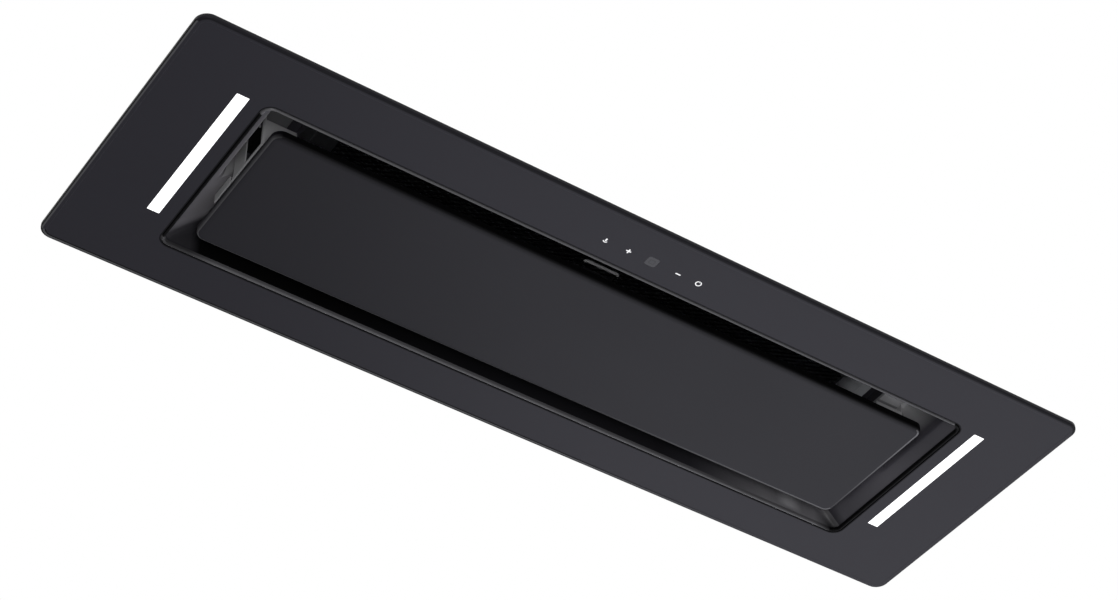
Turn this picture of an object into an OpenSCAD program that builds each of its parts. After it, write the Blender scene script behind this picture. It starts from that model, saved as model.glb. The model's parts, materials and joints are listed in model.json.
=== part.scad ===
// Undermount range hood: a face plate below a cabinet, a suction panel on rear hinges,
// a grease filter, a twin blower and a rear discharge collar.
// Millimetres. X runs along the hood, -Y is the control side, +Z points up into the cabinet.
// The origin is the middle of the mounting plane, where the flange meets the cabinet.

/* [Face plate] */
// Length of the face plate
face_w = 860; // [850:1:900]
// Depth of the face plate
face_d = 280; // [276:1:300]
// Height of the folded rim below the mounting plane
face_h = 4; // [3.6:0.1:6]
// Thickness of the face sheet
face_t = 1.2; // [0.8:0.1:1.4]
// Width of the folded rim
rim_w = 1.6; // [1.2:0.1:2]
// Corner radius of the face plate
face_r = 11.5; // [6:0.5:20]
// Radius of the lower outer edge
face_edge_r = 1.5; // [0.5:0.1:1.5]

/* [Mounting flange] */
// Thickness of the mounting flange
flange_t = 1.2; // [0.8:0.1:1.4]
// Gap between the flange and the folded rim
flange_gap = 0.3; // [0.1:0.05:0.5]
// Distance from the end of the face plate to a fixing hole
fix_end = 16; // [14:0.5:20]
// Distance between the fixing holes across the hood
fix_y = 180; // [60:1:200]
// Radius of a fixing hole
fix_r = 2.75; // [2:0.05:3.2]

/* [Opening] */
// Distance from the end of the face plate to the opening
open_end = 85; // [80:0.5:92]
// Distance from the front edge of the face plate to the opening
open_front = 54.5; // [52:0.5:58]
// Distance from the rear edge of the face plate to the opening
open_rear = 44.5; // [42:0.5:47]
// Corner radius of the opening
open_r = 10; // [6:0.5:14]

/* [Recess tray] */
// Gap between the face and the rolled bead
bead_gap = 0.8; // [0.3:0.1:1.2]
// Width of the rolled bead
bead_w = 2.6; // [2:0.1:3.5]
// Distance that the bead stands below the face
bead_drop = 0.4; // [0.1:0.1:1]
// Height of the upright lip above the bottom of the bead
lip_h = 3.9; // [3.4:0.1:5]
// Sheet thickness of the tray
tray_t = 1; // [0.8:0.1:1.5]
// Width of the welding flange behind the face
weld_w = 8; // [4:0.5:9]
// Height of the ledge above the mounting plane
ledge_z = 47; // [45:0.5:50]
// Distance that the end slope runs inward up to the ledge
ledge_run_end = 43.1; // [40:0.1:46]
// Distance that the front wall runs inward up to the ledge
ledge_run_front = 4; // [2:0.5:6]
// Width of the outer rim of the ledge
ledge_rim = 32; // [28:0.5:33]
// Height at which the corner pockets start
pocket_z = 8.4; // [7:0.1:12]
// Distance that a pocket's wall runs inward up to the ledge
pocket_run = 16.6; // [14:0.1:19]
// Rear end of the pockets
pocket_y = 13; // [10:0.5:20]

/* [Suction panel] */
// Suction gap at each end of the panel
gap_end = 19.6; // [17:0.1:21.5]
// Suction gap along the front of the panel
gap_front = 22.6; // [20:0.1:26]
// Suction gap along the rear of the panel
gap_rear = 14.6; // [13.5:0.1:17]
// Distance that the panel's face lies above the face plate's face
panel_rise = 3.3; // [2.5:0.1:3.6]
// Height of the panel's folded edge
panel_h = 7; // [6.5:0.1:7.3]
// Sheet thickness of the panel
panel_t = 1.2; // [0.8:0.1:1.5]
// Corner radius of the panel
panel_r = 9; // [5:0.5:14]
// Radius of the panel's lower edge
panel_edge_r = 1.2; // [0.5:0.1:1.2]
// Thickness of the backing sheet
backing_t = 1; // [0.8:0.1:1.5]
// Gap round the backing sheet
backing_gap = 0.1; // [0.05:0.05:0.5]

/* [Hinges] */
// Distance from the end of the panel to the middle of a hinge
hinge_end = 92; // [60:1:160]
// Distance of the hinge axis in front of the panel's rear edge
hinge_in = 4.5; // [4:0.5:6]
// Height of the hinge axis above the backing sheet
hinge_up = 6.2; // [6.1:0.1:7]
// Thickness of the arm's base
arm_t = 1.5; // [1:0.1:1.6]
// Radius of a hinge pin
hinge_pin_r = 2; // [1.5:0.1:2.2]
// Running clearance round a hinge pin
hinge_clear = 0.05; // [0.02:0.01:0.08]
// Length of the arm's barrel
barrel_len = 13; // [8:0.5:20]
// Length of the arm's base in front of the hinge axis
arm_len = 26; // [16:0.5:30]
// Half width of the arm's base
arm_half = 14; // [10:0.5:16]
// Wall of the arm's barrel
barrel_wall = 1.5; // [1:0.1:1.8]
// Thickness of a hinge ear
ear_t = 1.5; // [1:0.1:2.5]
// Side gap between the barrel and an ear
ear_gap = 0.5; // [0.3:0.1:1]

/* [Catches] */
// Distance from the front of the panel to the catch bracket
catch_in = 24.5; // [20:0.5:28]
// Length of the bracket's front plate
catch_plate_w = 29.5; // [26:0.5:34]
// Height of the front plate's top edge
catch_plate_z = 38; // [34:0.5:40]
// Gap between the suction panel and the catch bracket
catch_gap = 3.2; // [3:0.1:4]
// Sheet thickness of the catch bracket
catch_t = 1.2; // [0.8:0.1:1.5]
// Length of the window in the side plate
window_len = 28.5; // [18:0.5:30]
// Height of the window's upper edge
window_z = 40; // [30:0.5:43]
// Length of the side plate from front to back
side_len = 47; // [44:0.5:47.5]
// Length of the low tail behind the side plate
tail_len = 31.5; // [15:0.5:40]
// Height of the tail's upper edge
tail_z = 18; // [13:0.5:20]
// Radius of the curved foot between the side plate and the tail
foot_r = 5.5; // [3:0.5:8]
// Length of a magnet along the hood
magnet_w = 20; // [12:0.5:24]
// Depth of a magnet
magnet_d = 11; // [8:0.5:14]
// Height of a magnet
magnet_h = 12; // [8:0.5:16]
// Gap between a magnet and its strike plate
magnet_gap = 0.3; // [0.2:0.05:0.5]
// Thickness of a strike plate
strike_t = 1.2; // [0.8:0.1:1.5]

/* [Grease filter] */
// Gap between the filter and each end of its collar
filter_end_gap = 13; // [8:0.5:15]
// Distance from the front of the ledge to the filter's collar
collar_in_front = 11.6; // [10:0.1:13]
// Distance from the rear wall of the recess to the filter's collar
collar_in_rear = 20.1; // [19:0.1:22]
// Height of the filter frame
filter_h = 8.7; // [8:0.1:8.8]
// Width of the end rails
filter_end = 29.5; // [18:0.5:32]
// Width of the long rails
filter_side = 12; // [10:0.5:16]
// Thickness of the mesh pack
mesh_t = 5.5; // [3:0.1:6]
// Gap round the filter in its collar
filter_gap = 1.7; // [1.2:0.1:2]
// Height of the filter collar above the ledge
collar_h = 10; // [9.8:0.1:12]
// Width of the seat that the filter presses on
seat_w = 17.5; // [12:0.5:20]
// Width of a locating tab
tab_w = 20; // [10:1:30]
// Distance of each locating tab from the middle
tab_x = 150; // [60:1:220]

/* [Filter handle] */
// Half length of the handle bar
bail_x = 16.5; // [12:0.5:24]
// Radius of the handle wire
bail_r = 1.3; // [1:0.1:1.5]
// Distance from the handle's pivot to its bar
bail_reach = 21; // [16:0.5:26]
// Distance from the front of the filter to the handle's pivot
bail_in = 50.8; // [46:0.2:56]
// Thickness of the handle's base plate
bail_plate_t = 0.8; // [0.6:0.1:1.2]
// Running clearance round the handle wire
bail_clear = 0.05; // [0.02:0.01:0.08]

/* [Filter latch] */
// Width of the latch tongue
latch_w = 14; // [10:0.5:20]
// Thickness of the latch tongue
latch_t = 3; // [2:0.1:3.4]
// Travel of the latch
latch_travel = 4; // [3:0.1:5]
// Distance that the tongue reaches past the collar's inner face
latch_bite = 3; // [2:0.1:3.5]
// Sliding clearance round the latch
latch_clear = 0.3; // [0.1:0.05:0.5]

/* [Lights] */
// Distance from the end of the opening to the middle of a light strip
light_out = 18.4; // [17.5:0.1:21]
// Width of a light strip
light_w = 10.7; // [8:0.1:12]
// Length of a light strip
light_d = 148.5; // [120:0.5:160]
// Distance that a light strip lies in front of the middle of the opening
light_shift = 13.6; // [8:0.1:16]
// Thickness of the diffuser's shoulder
shoulder_t = 1; // [0.8:0.1:1.5]
// Width of the diffuser's shoulder
shoulder_w = 1.5; // [0.8:0.1:2]
// Height of the light channel behind the face
channel_h = 10; // [8:0.5:12]
// Wall of the light channel
channel_t = 1.2; // [0.8:0.1:1.5]
// Thickness of the light board
light_board_t = 1.2; // [0.8:0.1:1.6]
// Number of lamps on a light board
lamp_count = 12; // [6:1:20]

/* [Touch controls] */
// Distance from the front edge of the face plate to the row of symbols
touch_in = 34.5; // [33:0.5:36]
// Distance from one symbol to the next
touch_pitch = 23; // [18:0.5:26]
minus_shift = 2.8; // [0:0.1:4]
// Length of the display window
display_w = 11; // [8:0.5:13]
// Depth of the display window
display_d = 10.5; // [8:0.5:12]
// Height of the printed symbols
print_t = 0.1; // [0.05:0.05:0.2]
// Length of the touch board
board_w = 124; // [112:1:150]
// Depth of the touch board
board_d = 18; // [14:0.5:18]
// Thickness of the touch board
board_t = 1.6; // [1:0.1:2]
// Height of the touch board's cover behind the face
touch_cover_h = 11; // [8:0.5:14]

/* [Body] */
// Width of the flange beyond the cut-out at each end
lap_end = 32; // [30:0.5:36]
// Width of the flange beyond the cut-out along the front and rear
lap_side = 18; // [16:0.5:19]
// Clearance between the body and the cut-out
body_clear = 4; // [2:0.5:5]
// Sheet thickness of the body
body_t = 1; // [0.8:0.1:1.2]
// Height of the low body above the mounting plane
deck_z = 18; // [17:0.5:20]
// Gap between the tray's pockets and the plenum housing
plenum_gap = 11; // [9:0.5:14]
// Distance from the front of the body to the plenum housing
plenum_in_front = 8; // [6:0.5:9]
// Distance from the rear of the body to the plenum housing
plenum_in_rear = 2; // [1:0.5:3]
// Height of the plenum roof above the mounting plane
roof_z = 66; // [65:0.5:70]
// Distance that the plenum's front wall leans back up to the roof
roof_run = 38; // [34:0.5:42]
// Width of the plenum's end flanges
plenum_flange = 14; // [10:0.5:18]
// Radius of a body screw
body_screw_r = 2; // [1.5:0.1:2.4]
// Length of a body screw below its head
body_screw_len = 6; // [4:0.5:9]

/* [Blower] */
// Distance from the rear of the plenum housing to the fan shaft
fan_in_rear = 58; // [57:0.5:60]
// Height of the fan shaft above the plenum roof
fan_up = 51; // [50:0.5:53]
// Outer radius of an impeller
fan_r = 46; // [42:0.5:47]
// Depth of an impeller blade along the radius
blade_d = 9; // [6:0.5:11]
// Width of an impeller
fan_w = 68; // [56:1:70]
// Number of blades
blade_count = 24; // [16:1:30]
// Thickness of a blade
blade_t = 0.8; // [0.6:0.1:1.2]
// Inner radius of the scroll at its tongue
scroll_r0 = 50; // [49:0.5:51]
// Inner radius of the scroll at its outlet
scroll_r1 = 62; // [58:0.5:63]
// Wall of the scroll
scroll_t = 1.5; // [1:0.1:2]
// Side gap between an impeller and its scroll
fan_gap = 4; // [2:0.5:6]
// Radius of the scroll's inlet
inlet_r = 38; // [34:0.5:40]
// Radius of the fan shaft
shaft_r = 4; // [3:0.1:5]
// Running clearance of the fan shaft in its bearings
shaft_clear = 0.05; // [0.02:0.01:0.08]
// Radius of the motor
motor_r = 33; // [26:0.5:36]
// Half length of the motor
motor_x = 33; // [30:0.5:33]
// Thickness of a motor plate
motor_plate_t = 2; // [1.5:0.1:2.5]
// Radius of a motor plate
motor_plate_r = 40; // [38:0.5:44]
// Width of the rubber isolator rings
isolator_w = 8; // [5:0.5:10]
// Thickness of the rubber isolators
isolator_t = 1.5; // [1:0.1:2]
// Outer radius of a bearing
bearing_r = 9; // [8:0.5:11]
// Width of a bearing
bearing_w = 6; // [4:0.5:8]
// Radius of the capacitor
capacitor_r = 14; // [10:0.5:15]
// Length of the capacitor
capacitor_len = 50; // [40:1:56]

/* [Blower cover] */
// Length of the blower cover
cover_w = 320; // [312:1:340]
// Distance from the fan shaft to the front of the blower cover
cover_ahead = 70; // [66:0.5:73]
// Height of the blower cover's top above the fan shaft
cover_up = 75; // [73:0.5:80]
// Height above the fan shaft at which the cover's sloping front starts
shoulder_up = 21; // [16:0.5:24]
// Depth of the blower cover's sloping front
slope_run = 50; // [44:0.5:54]
// Width of the cover's side flanges
cover_flange = 12; // [10:0.5:16]

/* [Discharge collar] */
// Length of the duct that fits over the collar
duct_w = 254; // [250:1:260]
// Height of the duct that fits over the collar
duct_h = 83; // [76:0.5:84]
// Length of the collar
duct_len = 40; // [34:0.5:60]
// Sheet thickness of the collar
duct_t = 1; // [0.8:0.1:1.5]
// Height of the collar's middle above the fan shaft
duct_up = 29; // [27:0.5:30]
// Width of the collar's flange
duct_flange = 10; // [8:0.5:11]
// Radius of the damper rod
rod_r = 2; // [1.5:0.1:2.2]
// Running clearance round the damper rod
rod_clear = 0.05; // [0.02:0.01:0.08]
// Thickness of the damper flap
flap_t = 1; // [0.8:0.1:1.4]
// Gap round the damper flap
flap_gap = 1.5; // [1:0.1:2.5]

/* [Control box] */
// Length of the control box
ebox_w = 120; // [100:1:125]
// Depth of the control box
ebox_d = 90; // [80:1:92]
// Height of the control box
ebox_h = 38; // [30:0.5:40]
// Gap between the blower cover and the control box
ebox_gap = 30; // [24:0.5:34]
// Distance that the control box reaches in front of the blower cover
ebox_ahead = 20; // [16:0.5:24]
// Wall of the control box
ebox_t = 2; // [1.5:0.1:2.5]
// Thickness of the control box lid
lid_t = 2; // [1.5:0.1:2.5]
// Radius of the bore in the mains gland
gland_bore_r = 3.8; // [3:0.1:4.2]
// Outer radius of the mains gland
gland_r = 8; // [7:0.5:9]
// Length of the mains gland outside the box
gland_len = 22; // [16:0.5:26]
// Length of the light driver
driver_w = 100; // [80:1:110]
// Depth of the light driver
driver_d = 40; // [30:1:44]
// Height of the light driver
driver_h = 22; // [18:0.5:24]
// Gap between the blower cover and the light driver
driver_gap = 40; // [34:0.5:44]
// Distance of each lead clip from the middle
clip_x = 100; // [60:1:140]
// Width of a lead clip
clip_w = 8; // [6:0.5:12]
// Length of a lead clip's foot
clip_foot = 12; // [9:0.5:14]
// Radius of the lead between the control box and the light driver
lead_r = 2.5; // [2:0.1:3]
// Distance from the blower cover to the lead in front of it
lead_ahead = 10; // [8:0.5:12]

/* [Hidden] */
$fn = 48;

// Colours as the photograph shows them, or as such pieces are made
dark_paint = [0.17, 0.17, 0.19];
plain_steel = [0.62, 0.64, 0.66];
zinc_steel = [0.7, 0.72, 0.74];
aluminium = [0.78, 0.79, 0.8];
black_plastic = [0.09, 0.09, 0.1];
grey_plastic = [0.45, 0.46, 0.48];
green_board = [0.1, 0.35, 0.18];
white_light = [1, 1, 1];

eps = 0.01;

// Levels and edges worked out from the driving dimensions
face_z = -face_h;
face_back_z = face_z + face_t;
open_w = face_w - 2 * open_end;
open_d = face_d - open_front - open_rear;
open_y = (open_front - open_rear) / 2;
fix_x = face_w - 2 * fix_end;
cutout_w = face_w - 2 * lap_end;
cutout_d = face_d - 2 * lap_side;
flange_w = face_w - 2 * (rim_w + flange_gap);
flange_d = face_d - 2 * (rim_w + flange_gap);
flange_r = max(1, face_r - rim_w - flange_gap);
body_w = cutout_w - 2 * body_clear;
body_d = cutout_d - body_clear;

bead_r = bead_w / 2;
lip_w = open_w - 2 * bead_gap;
lip_d = open_d - 2 * bead_gap;
lip_r = open_r - bead_gap;
lip_z = face_z - bead_drop + lip_h;
mouth_w = lip_w - 2 * bead_w;
mouth_d = lip_d - 2 * bead_w;
mouth_r = lip_r - bead_w;
mouth_front = open_y - mouth_d / 2;
mouth_rear = open_y + mouth_d / 2;
ledge_x = mouth_w / 2 - ledge_run_end;
ledge_front = mouth_front + ledge_run_front;
ledge_top = ledge_z + tray_t;
pocket_top_x = mouth_w / 2 - pocket_run;

// Inner face of the end slope at a height
function slope_x(z) = mouth_w / 2 - (mouth_w / 2 - ledge_x) * (z - lip_z) / (ledge_z - lip_z);

panel_z = face_z + panel_rise;
panel_top = panel_z + panel_h;
panel_front = mouth_front + gap_front;
panel_rear = mouth_rear - gap_rear;
panel_w = mouth_w - 2 * gap_end;
panel_d = panel_rear - panel_front;
panel_y = (panel_front + panel_rear) / 2;
hinge_x = panel_w / 2 - hinge_end;
hinge_y = panel_rear - hinge_in;
hinge_z = panel_top + hinge_up;
barrel_r = hinge_pin_r + hinge_clear + barrel_wall;
ear_reach = barrel_len / 2 + ear_gap + ear_t;
hinge_plate_t = 1.2;
hinge_plate_low = hinge_z + 16.5;
hinge_plate_high = ledge_z - 3;

catch_x = panel_w / 2;
catch_y = panel_front + catch_in;
catch_z = panel_top + catch_gap;
magnet_y = catch_y + catch_t;
strike_z = panel_top + strike_t;
magnet_z = strike_z + magnet_gap;

collar_x = ledge_x;
collar_front = ledge_front + collar_in_front;
collar_rear = mouth_rear - collar_in_rear;
filter_w = 2 * (collar_x - filter_end_gap);
filter_front = collar_front + filter_gap;
filter_rear = collar_rear - filter_gap;
bail_y = filter_front + bail_in;
collar_top = ledge_z + collar_h;
filter_z = collar_top - filter_h - 0.3;
rail_z = filter_z + 2;
pivot_z = filter_z - bail_plate_t - bail_r - 0.3;

light_x = open_w / 2 + light_out;
light_y = open_y - light_shift;
touch_y = touch_in - face_d / 2;
channel_w = light_w + 2 * shoulder_w + 2 * channel_t + 0.4;
channel_d = light_d + 2 * shoulder_w + 2 * channel_t + 0.4;
channel_top = face_back_z + channel_h;

plenum_w = 2 * (pocket_top_x + plenum_gap);
plenum_front = plenum_in_front - body_d / 2;
plenum_rear = body_d / 2 - plenum_in_rear;
roof_front = plenum_front + roof_run;
fan_y = plenum_rear - fan_in_rear;
fan_z = roof_z + fan_up;
cover_front = fan_y - cover_ahead;
cover_top = fan_z + cover_up;
cover_shoulder = fan_z + shoulder_up;
cover_crest = cover_front + slope_run;
duct_z = fan_z + duct_up;
fan_in = motor_x + motor_plate_t + isolator_t + scroll_t + fan_gap;
fan_out = fan_in + fan_w;
scroll_in = fan_in - fan_gap - scroll_t;
scroll_out = fan_out + fan_gap + scroll_t;
tongue_z = fan_z + scroll_r0 * sin(12) + scroll_t;
throat_z = fan_z + scroll_r1;
rear_face = plenum_rear - body_t;

duct_end = plenum_rear + duct_len;
rod_y = plenum_rear + duct_len / 2;
rod_z = duct_z + duct_h / 2 - duct_t - flap_gap - rod_r - rod_clear - 1.2;
flap_w = duct_w - 2 * (duct_t + flap_gap);
flap_low = duct_z - duct_h / 2 + duct_t + flap_gap;

// A rectangle with round corners
module rounded(w, d, r) {
    square([w - 2 * r, d], center = true);
    square([w, d - 2 * r], center = true);
    for (x = [-1, 1], y = [-1, 1])
        translate([x * (w / 2 - r), y * (d / 2 - r)]) circle(r);
}

// A profile, given as distance outward and height, carried round a rectangle with round corners
module ring(w, d, r) {
    for (i = [0 : 3]) {
        run = i % 2 == 0 ? w : d;
        reach = i % 2 == 0 ? d : w;
        rotate(90 * i) {
            translate([run / 2 - r, -reach / 2, 0])
                rotate([90, 0, -90]) linear_extrude(run - 2 * r) children();
            translate([run / 2 - r, reach / 2 - r, 0])
                rotate_extrude(angle = 90) translate([r, 0]) children();
        }
    }
}

// A folded edge with a round lower corner: width, height and corner radius
module folded_edge(w, h, r) {
    intersection() {
        translate([-w, 0]) square([w, h]);
        union() {
            translate([-w - 1, 0]) square([w + 1 - r, h]);
            translate([-w - 1, r]) square([w + 1, h - r]);
            translate([-r, r]) circle(r);
        }
    }
}

// A cylinder along X, from x0 to x1
module bar_x(x0, x1, y, z, r) {
    translate([x0, y, z]) rotate([0, 90, 0]) cylinder(r = r, h = x1 - x0);
}

// A cylinder along Y, from y0 to y1
module bar_y(x, y0, y1, z, r) {
    translate([x, y0, z]) rotate([-90, 0, 0]) cylinder(r = r, h = y1 - y0);
}

// A block between two corners
module block(low, high) {
    translate(low) cube(high - low);
}

// A shape drawn in Y and Z, carried along X from x0 to x1
module carry_x(x0, x1) {
    translate([x0, 0, 0]) rotate([90, 0, 90]) linear_extrude(x1 - x0) children();
}

module light_slot(s, grow) {
    translate([s * light_x, light_y]) square([light_w + 2 * grow, light_d + 2 * grow], center = true);
}

module face_plate() {
    color(dark_paint) {
        translate([0, 0, face_z]) ring(face_w, face_d, face_r) folded_edge(rim_w, face_h, face_edge_r);
        translate([0, 0, face_z]) linear_extrude(face_t) difference() {
            rounded(face_w - 2 * rim_w + 2 * eps, face_d - 2 * rim_w + 2 * eps, face_r - rim_w + eps);
            translate([0, open_y]) rounded(open_w, open_d, open_r);
            for (s = [-1, 1]) light_slot(s, 0);
            translate([0, touch_y]) square([display_w, display_d], center = true);
        }
    }
}

module mounting_flange() {
    color(zinc_steel) translate([0, 0, -flange_t]) linear_extrude(flange_t) difference() {
        rounded(flange_w, flange_d, flange_r);
        square([body_w - 5 * body_t, body_d - 5 * body_t], center = true);
        for (x = [-1, 1], y = [-1, 1]) translate([x * fix_x / 2, y * fix_y / 2]) circle(fix_r);
    }
}

module low_body() {
    color(zinc_steel) {
        linear_extrude(deck_z) difference() {
            square([body_w, body_d], center = true);
            square([body_w - 2 * body_t, body_d - 2 * body_t], center = true);
        }
        translate([0, 0, deck_z - body_t]) linear_extrude(body_t) difference() {
            square([body_w - body_t, body_d - body_t], center = true);
            translate([-plenum_w / 2 + body_t, plenum_front + 2 * body_t])
                square([plenum_w - 2 * body_t, plenum_rear - plenum_front - 4 * body_t]);
            for (s = [-1, 1], y = housing_screw_y) translate([s * housing_screw_x, y]) circle(body_screw_r);
        }
    }
}

// Screws through the plenum's end flanges and the deck below them
housing_screw_x = plenum_w / 2 + plenum_flange / 2;
housing_screw_y = [-80, 0, 80];

// Depth position of the plenum's sloping front at a height
plenum_lean = (roof_front - plenum_front) / (roof_z - deck_z);
plenum_skin = body_t * sqrt(1 + plenum_lean * plenum_lean);
function plenum_front_at(z) = plenum_front + plenum_lean * (z - deck_z);

module plenum_section(skin, low) {
    polygon([
        [plenum_front_at(low) + skin * plenum_skin, low],
        [plenum_front_at(roof_z - skin * body_t) + skin * plenum_skin, roof_z - skin * body_t],
        [plenum_rear - skin * body_t, roof_z - skin * body_t],
        [plenum_rear - skin * body_t, low]
    ]);
}

module plenum_housing() {
    color(zinc_steel) difference() {
        union() {
            carry_x(-plenum_w / 2, plenum_w / 2) plenum_section(0, deck_z);
            for (s = [-1, 1]) translate([s * housing_screw_x, 0, deck_z + body_t / 2])
                cube([plenum_flange, 200, body_t], center = true);
        }
        carry_x(-plenum_w / 2 + body_t, plenum_w / 2 - body_t) plenum_section(1, deck_z - 2);
        // Opening in the roof below the blower
        block([-cover_w / 2 + 8, cover_front + 6, roof_z - 4],
              [cover_w / 2 - 8, plenum_rear - 6, roof_z + 4]);
        for (s = [-1, 1], y = housing_screw_y)
            translate([s * housing_screw_x, y, deck_z - 2]) cylinder(r = body_screw_r, h = 6);
        for (s = [-1, 1], y = cover_screw_y)
            translate([s * cover_screw_x, y, roof_z - 2]) cylinder(r = body_screw_r, h = 6);
    }
}

// Screws that hold the tray: a row behind the filter and a row in front of it
tray_screw_r = 2;
tray_screw_pitch = 160;
tray_screw_places = [
    for (i = [-1.5 : 1.5]) [i * tray_screw_pitch, (collar_rear + mouth_rear) / 2],
    for (i = [-1.5 : 1.5]) [i * tray_screw_pitch, (collar_front + ledge_front) / 2]
];

module plenum_floor() {
    color(zinc_steel) translate([0, 0, ledge_top]) linear_extrude(body_t) difference() {
        translate([-plenum_w / 2 + body_t, plenum_front_at(ledge_top) + plenum_skin + body_t])
            square([plenum_w - 2 * body_t, rear_face - plenum_front_at(ledge_top) - plenum_skin - body_t]);
        translate([-collar_x - tray_t - 1, collar_front - tray_t - 1])
            square([2 * (collar_x + tray_t + 1), collar_rear - collar_front + 2 * tray_t + 2]);
        for (p = tray_screw_places) translate(p) circle(tray_screw_r);
    }
}

module tray_screws() {
    color(plain_steel) for (p = tray_screw_places) translate(p) {
        translate([0, 0, ledge_z - 2]) cylinder(r = 3.4, h = 2);
        translate([0, 0, ledge_z - 1]) cylinder(r = tray_screw_r, h = 6);
    }
}

// Corner radius of the funnel where it meets the ledge
ledge_r = 12;

// The funnel between the lip and the ledge, grown outward by a skin
module funnel(skin) {
    hull() {
        translate([0, open_y, lip_z - skin * 0.2])
            linear_extrude(eps) rounded(mouth_w + 2 * skin, mouth_d + 2 * skin, mouth_r + skin, $fn = 32);
        translate([0, (ledge_front + mouth_rear) / 2, ledge_z])
            linear_extrude(eps)
                rounded(2 * (ledge_x + skin), mouth_rear - ledge_front + 2 * skin, ledge_r + skin, $fn = 32);
    }
}

// The pocket that houses a catch bracket, grown outward by a skin
module pocket(s, skin) {
    pocket_front = ledge_front + 4;
    translate([0, pocket_y + skin, 0]) rotate([90, 0, 0]) linear_extrude(pocket_y - pocket_front + 2 * skin)
        polygon([
            [s * (slope_x(pocket_z) + skin), pocket_z - skin * 0.3],
            [s * (pocket_top_x + skin), ledge_z + eps],
            [s * (ledge_x - 3), ledge_z + eps],
            [s * (slope_x(pocket_z) - 3), pocket_z - skin * 0.3]
        ]);
}

module recess_tray() {
    color(dark_paint) difference() {
        union() {
            // Rolled bead, upright lip and welding flange
            translate([0, open_y, 0]) ring(lip_w, lip_d, lip_r) {
                translate([-bead_r, face_z - bead_drop + bead_r]) circle(bead_r);
                translate([-bead_w, face_z - bead_drop + bead_r]) square([bead_w, lip_h - bead_r]);
                translate([-bead_w, face_back_z]) square([bead_w + weld_w, tray_t]);
            }
            difference() {
                union() {
                    funnel(tray_t);
                    for (s = [-1, 1]) pocket(s, tray_t);
                }
                funnel(0);
                translate([0, open_y, lip_z - 2]) linear_extrude(3) rounded(mouth_w, mouth_d, mouth_r);
                for (s = [-1, 1]) pocket(s, 0);
            }
            // Ledge, filter collar and the seat above it
            difference() {
                block([-ledge_x - ledge_rim, plenum_front_at(ledge_z) + plenum_skin + 3, ledge_z],
                      [ledge_x + ledge_rim, mouth_rear + 10, ledge_top]);
                block([-collar_x, collar_front, ledge_z - 1], [collar_x, collar_rear, ledge_top + 1]);
            }
            difference() {
                block([-collar_x - tray_t, collar_front - tray_t, ledge_z],
                      [collar_x + tray_t, collar_rear + tray_t, collar_top + tray_t]);
                block([-collar_x, collar_front, ledge_z - 1], [collar_x, collar_rear, collar_top]);
                block([-collar_x + seat_w, collar_front + filter_side, collar_top - 1],
                      [collar_x - seat_w, collar_rear - filter_side, collar_top + 3]);
            }
        }
        for (p = tray_screw_places) translate([p[0], p[1], ledge_z - 1]) cylinder(r = tray_screw_r, h = 4);
        // Slots for the filter's tabs and latch
        for (s = [-1, 1])
            block([s * tab_x - tab_w / 2 - 1, collar_rear - 1, rail_z - 0.4],
                  [s * tab_x + tab_w / 2 + 1, collar_rear + 3, rail_z + 2.4]);
        block([-latch_w / 2 - latch_clear, collar_front - 3, rail_z - latch_clear],
              [latch_w / 2 + latch_clear, collar_front + 1, rail_z + latch_t + latch_clear]);
        for (s = [-1, 1], p = hinge_screw_places)
            bar_y(s * hinge_x + p[0], mouth_rear - 1, mouth_rear + 3, p[1], hinge_screw_r);
    }
}

module suction_panel() {
    color(dark_paint) translate([0, panel_y, panel_z]) {
        ring(panel_w, panel_d, panel_r) folded_edge(panel_t, panel_h, panel_edge_r);
        linear_extrude(panel_t) rounded(panel_w - 2 * panel_t + 2 * eps, panel_d - 2 * panel_t + 2 * eps,
                                        panel_r - panel_t + eps);
    }
}

module panel_backing() {
    inset = panel_t + backing_gap;
    color(zinc_steel) translate([0, panel_y, panel_top - backing_t]) linear_extrude(backing_t)
        rounded(panel_w - 2 * inset, panel_d - 2 * inset, panel_r - inset);
}

module hinge_arms() {
    color(zinc_steel) for (s = [-1, 1]) translate([s * hinge_x, 0, 0]) difference() {
        union() {
            block([-arm_half, hinge_y - arm_len, panel_top],
                  [arm_half, panel_rear - panel_t - 0.5, panel_top + arm_t]);
            bar_x(-barrel_len / 2, barrel_len / 2, hinge_y, hinge_z, barrel_r);
            block([-barrel_len / 2, hinge_y - barrel_r, panel_top + 1], [barrel_len / 2, hinge_y, hinge_z]);
        }
        bar_x(-barrel_len, barrel_len, hinge_y, hinge_z, hinge_pin_r + hinge_clear);
    }
}

// The wall plate reaches past each ear, and its screws stand outside the ears
hinge_screw_r = 1.5;
hinge_screw_head = 2.6;
hinge_plate_x = ear_reach + 2 * hinge_screw_head + 1.8;
hinge_screw_x = ear_reach + hinge_screw_head + 0.9;
hinge_screw_places = [for (s = [-1, 1]) [s * hinge_screw_x, (hinge_plate_low + hinge_plate_high) / 2]];

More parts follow.
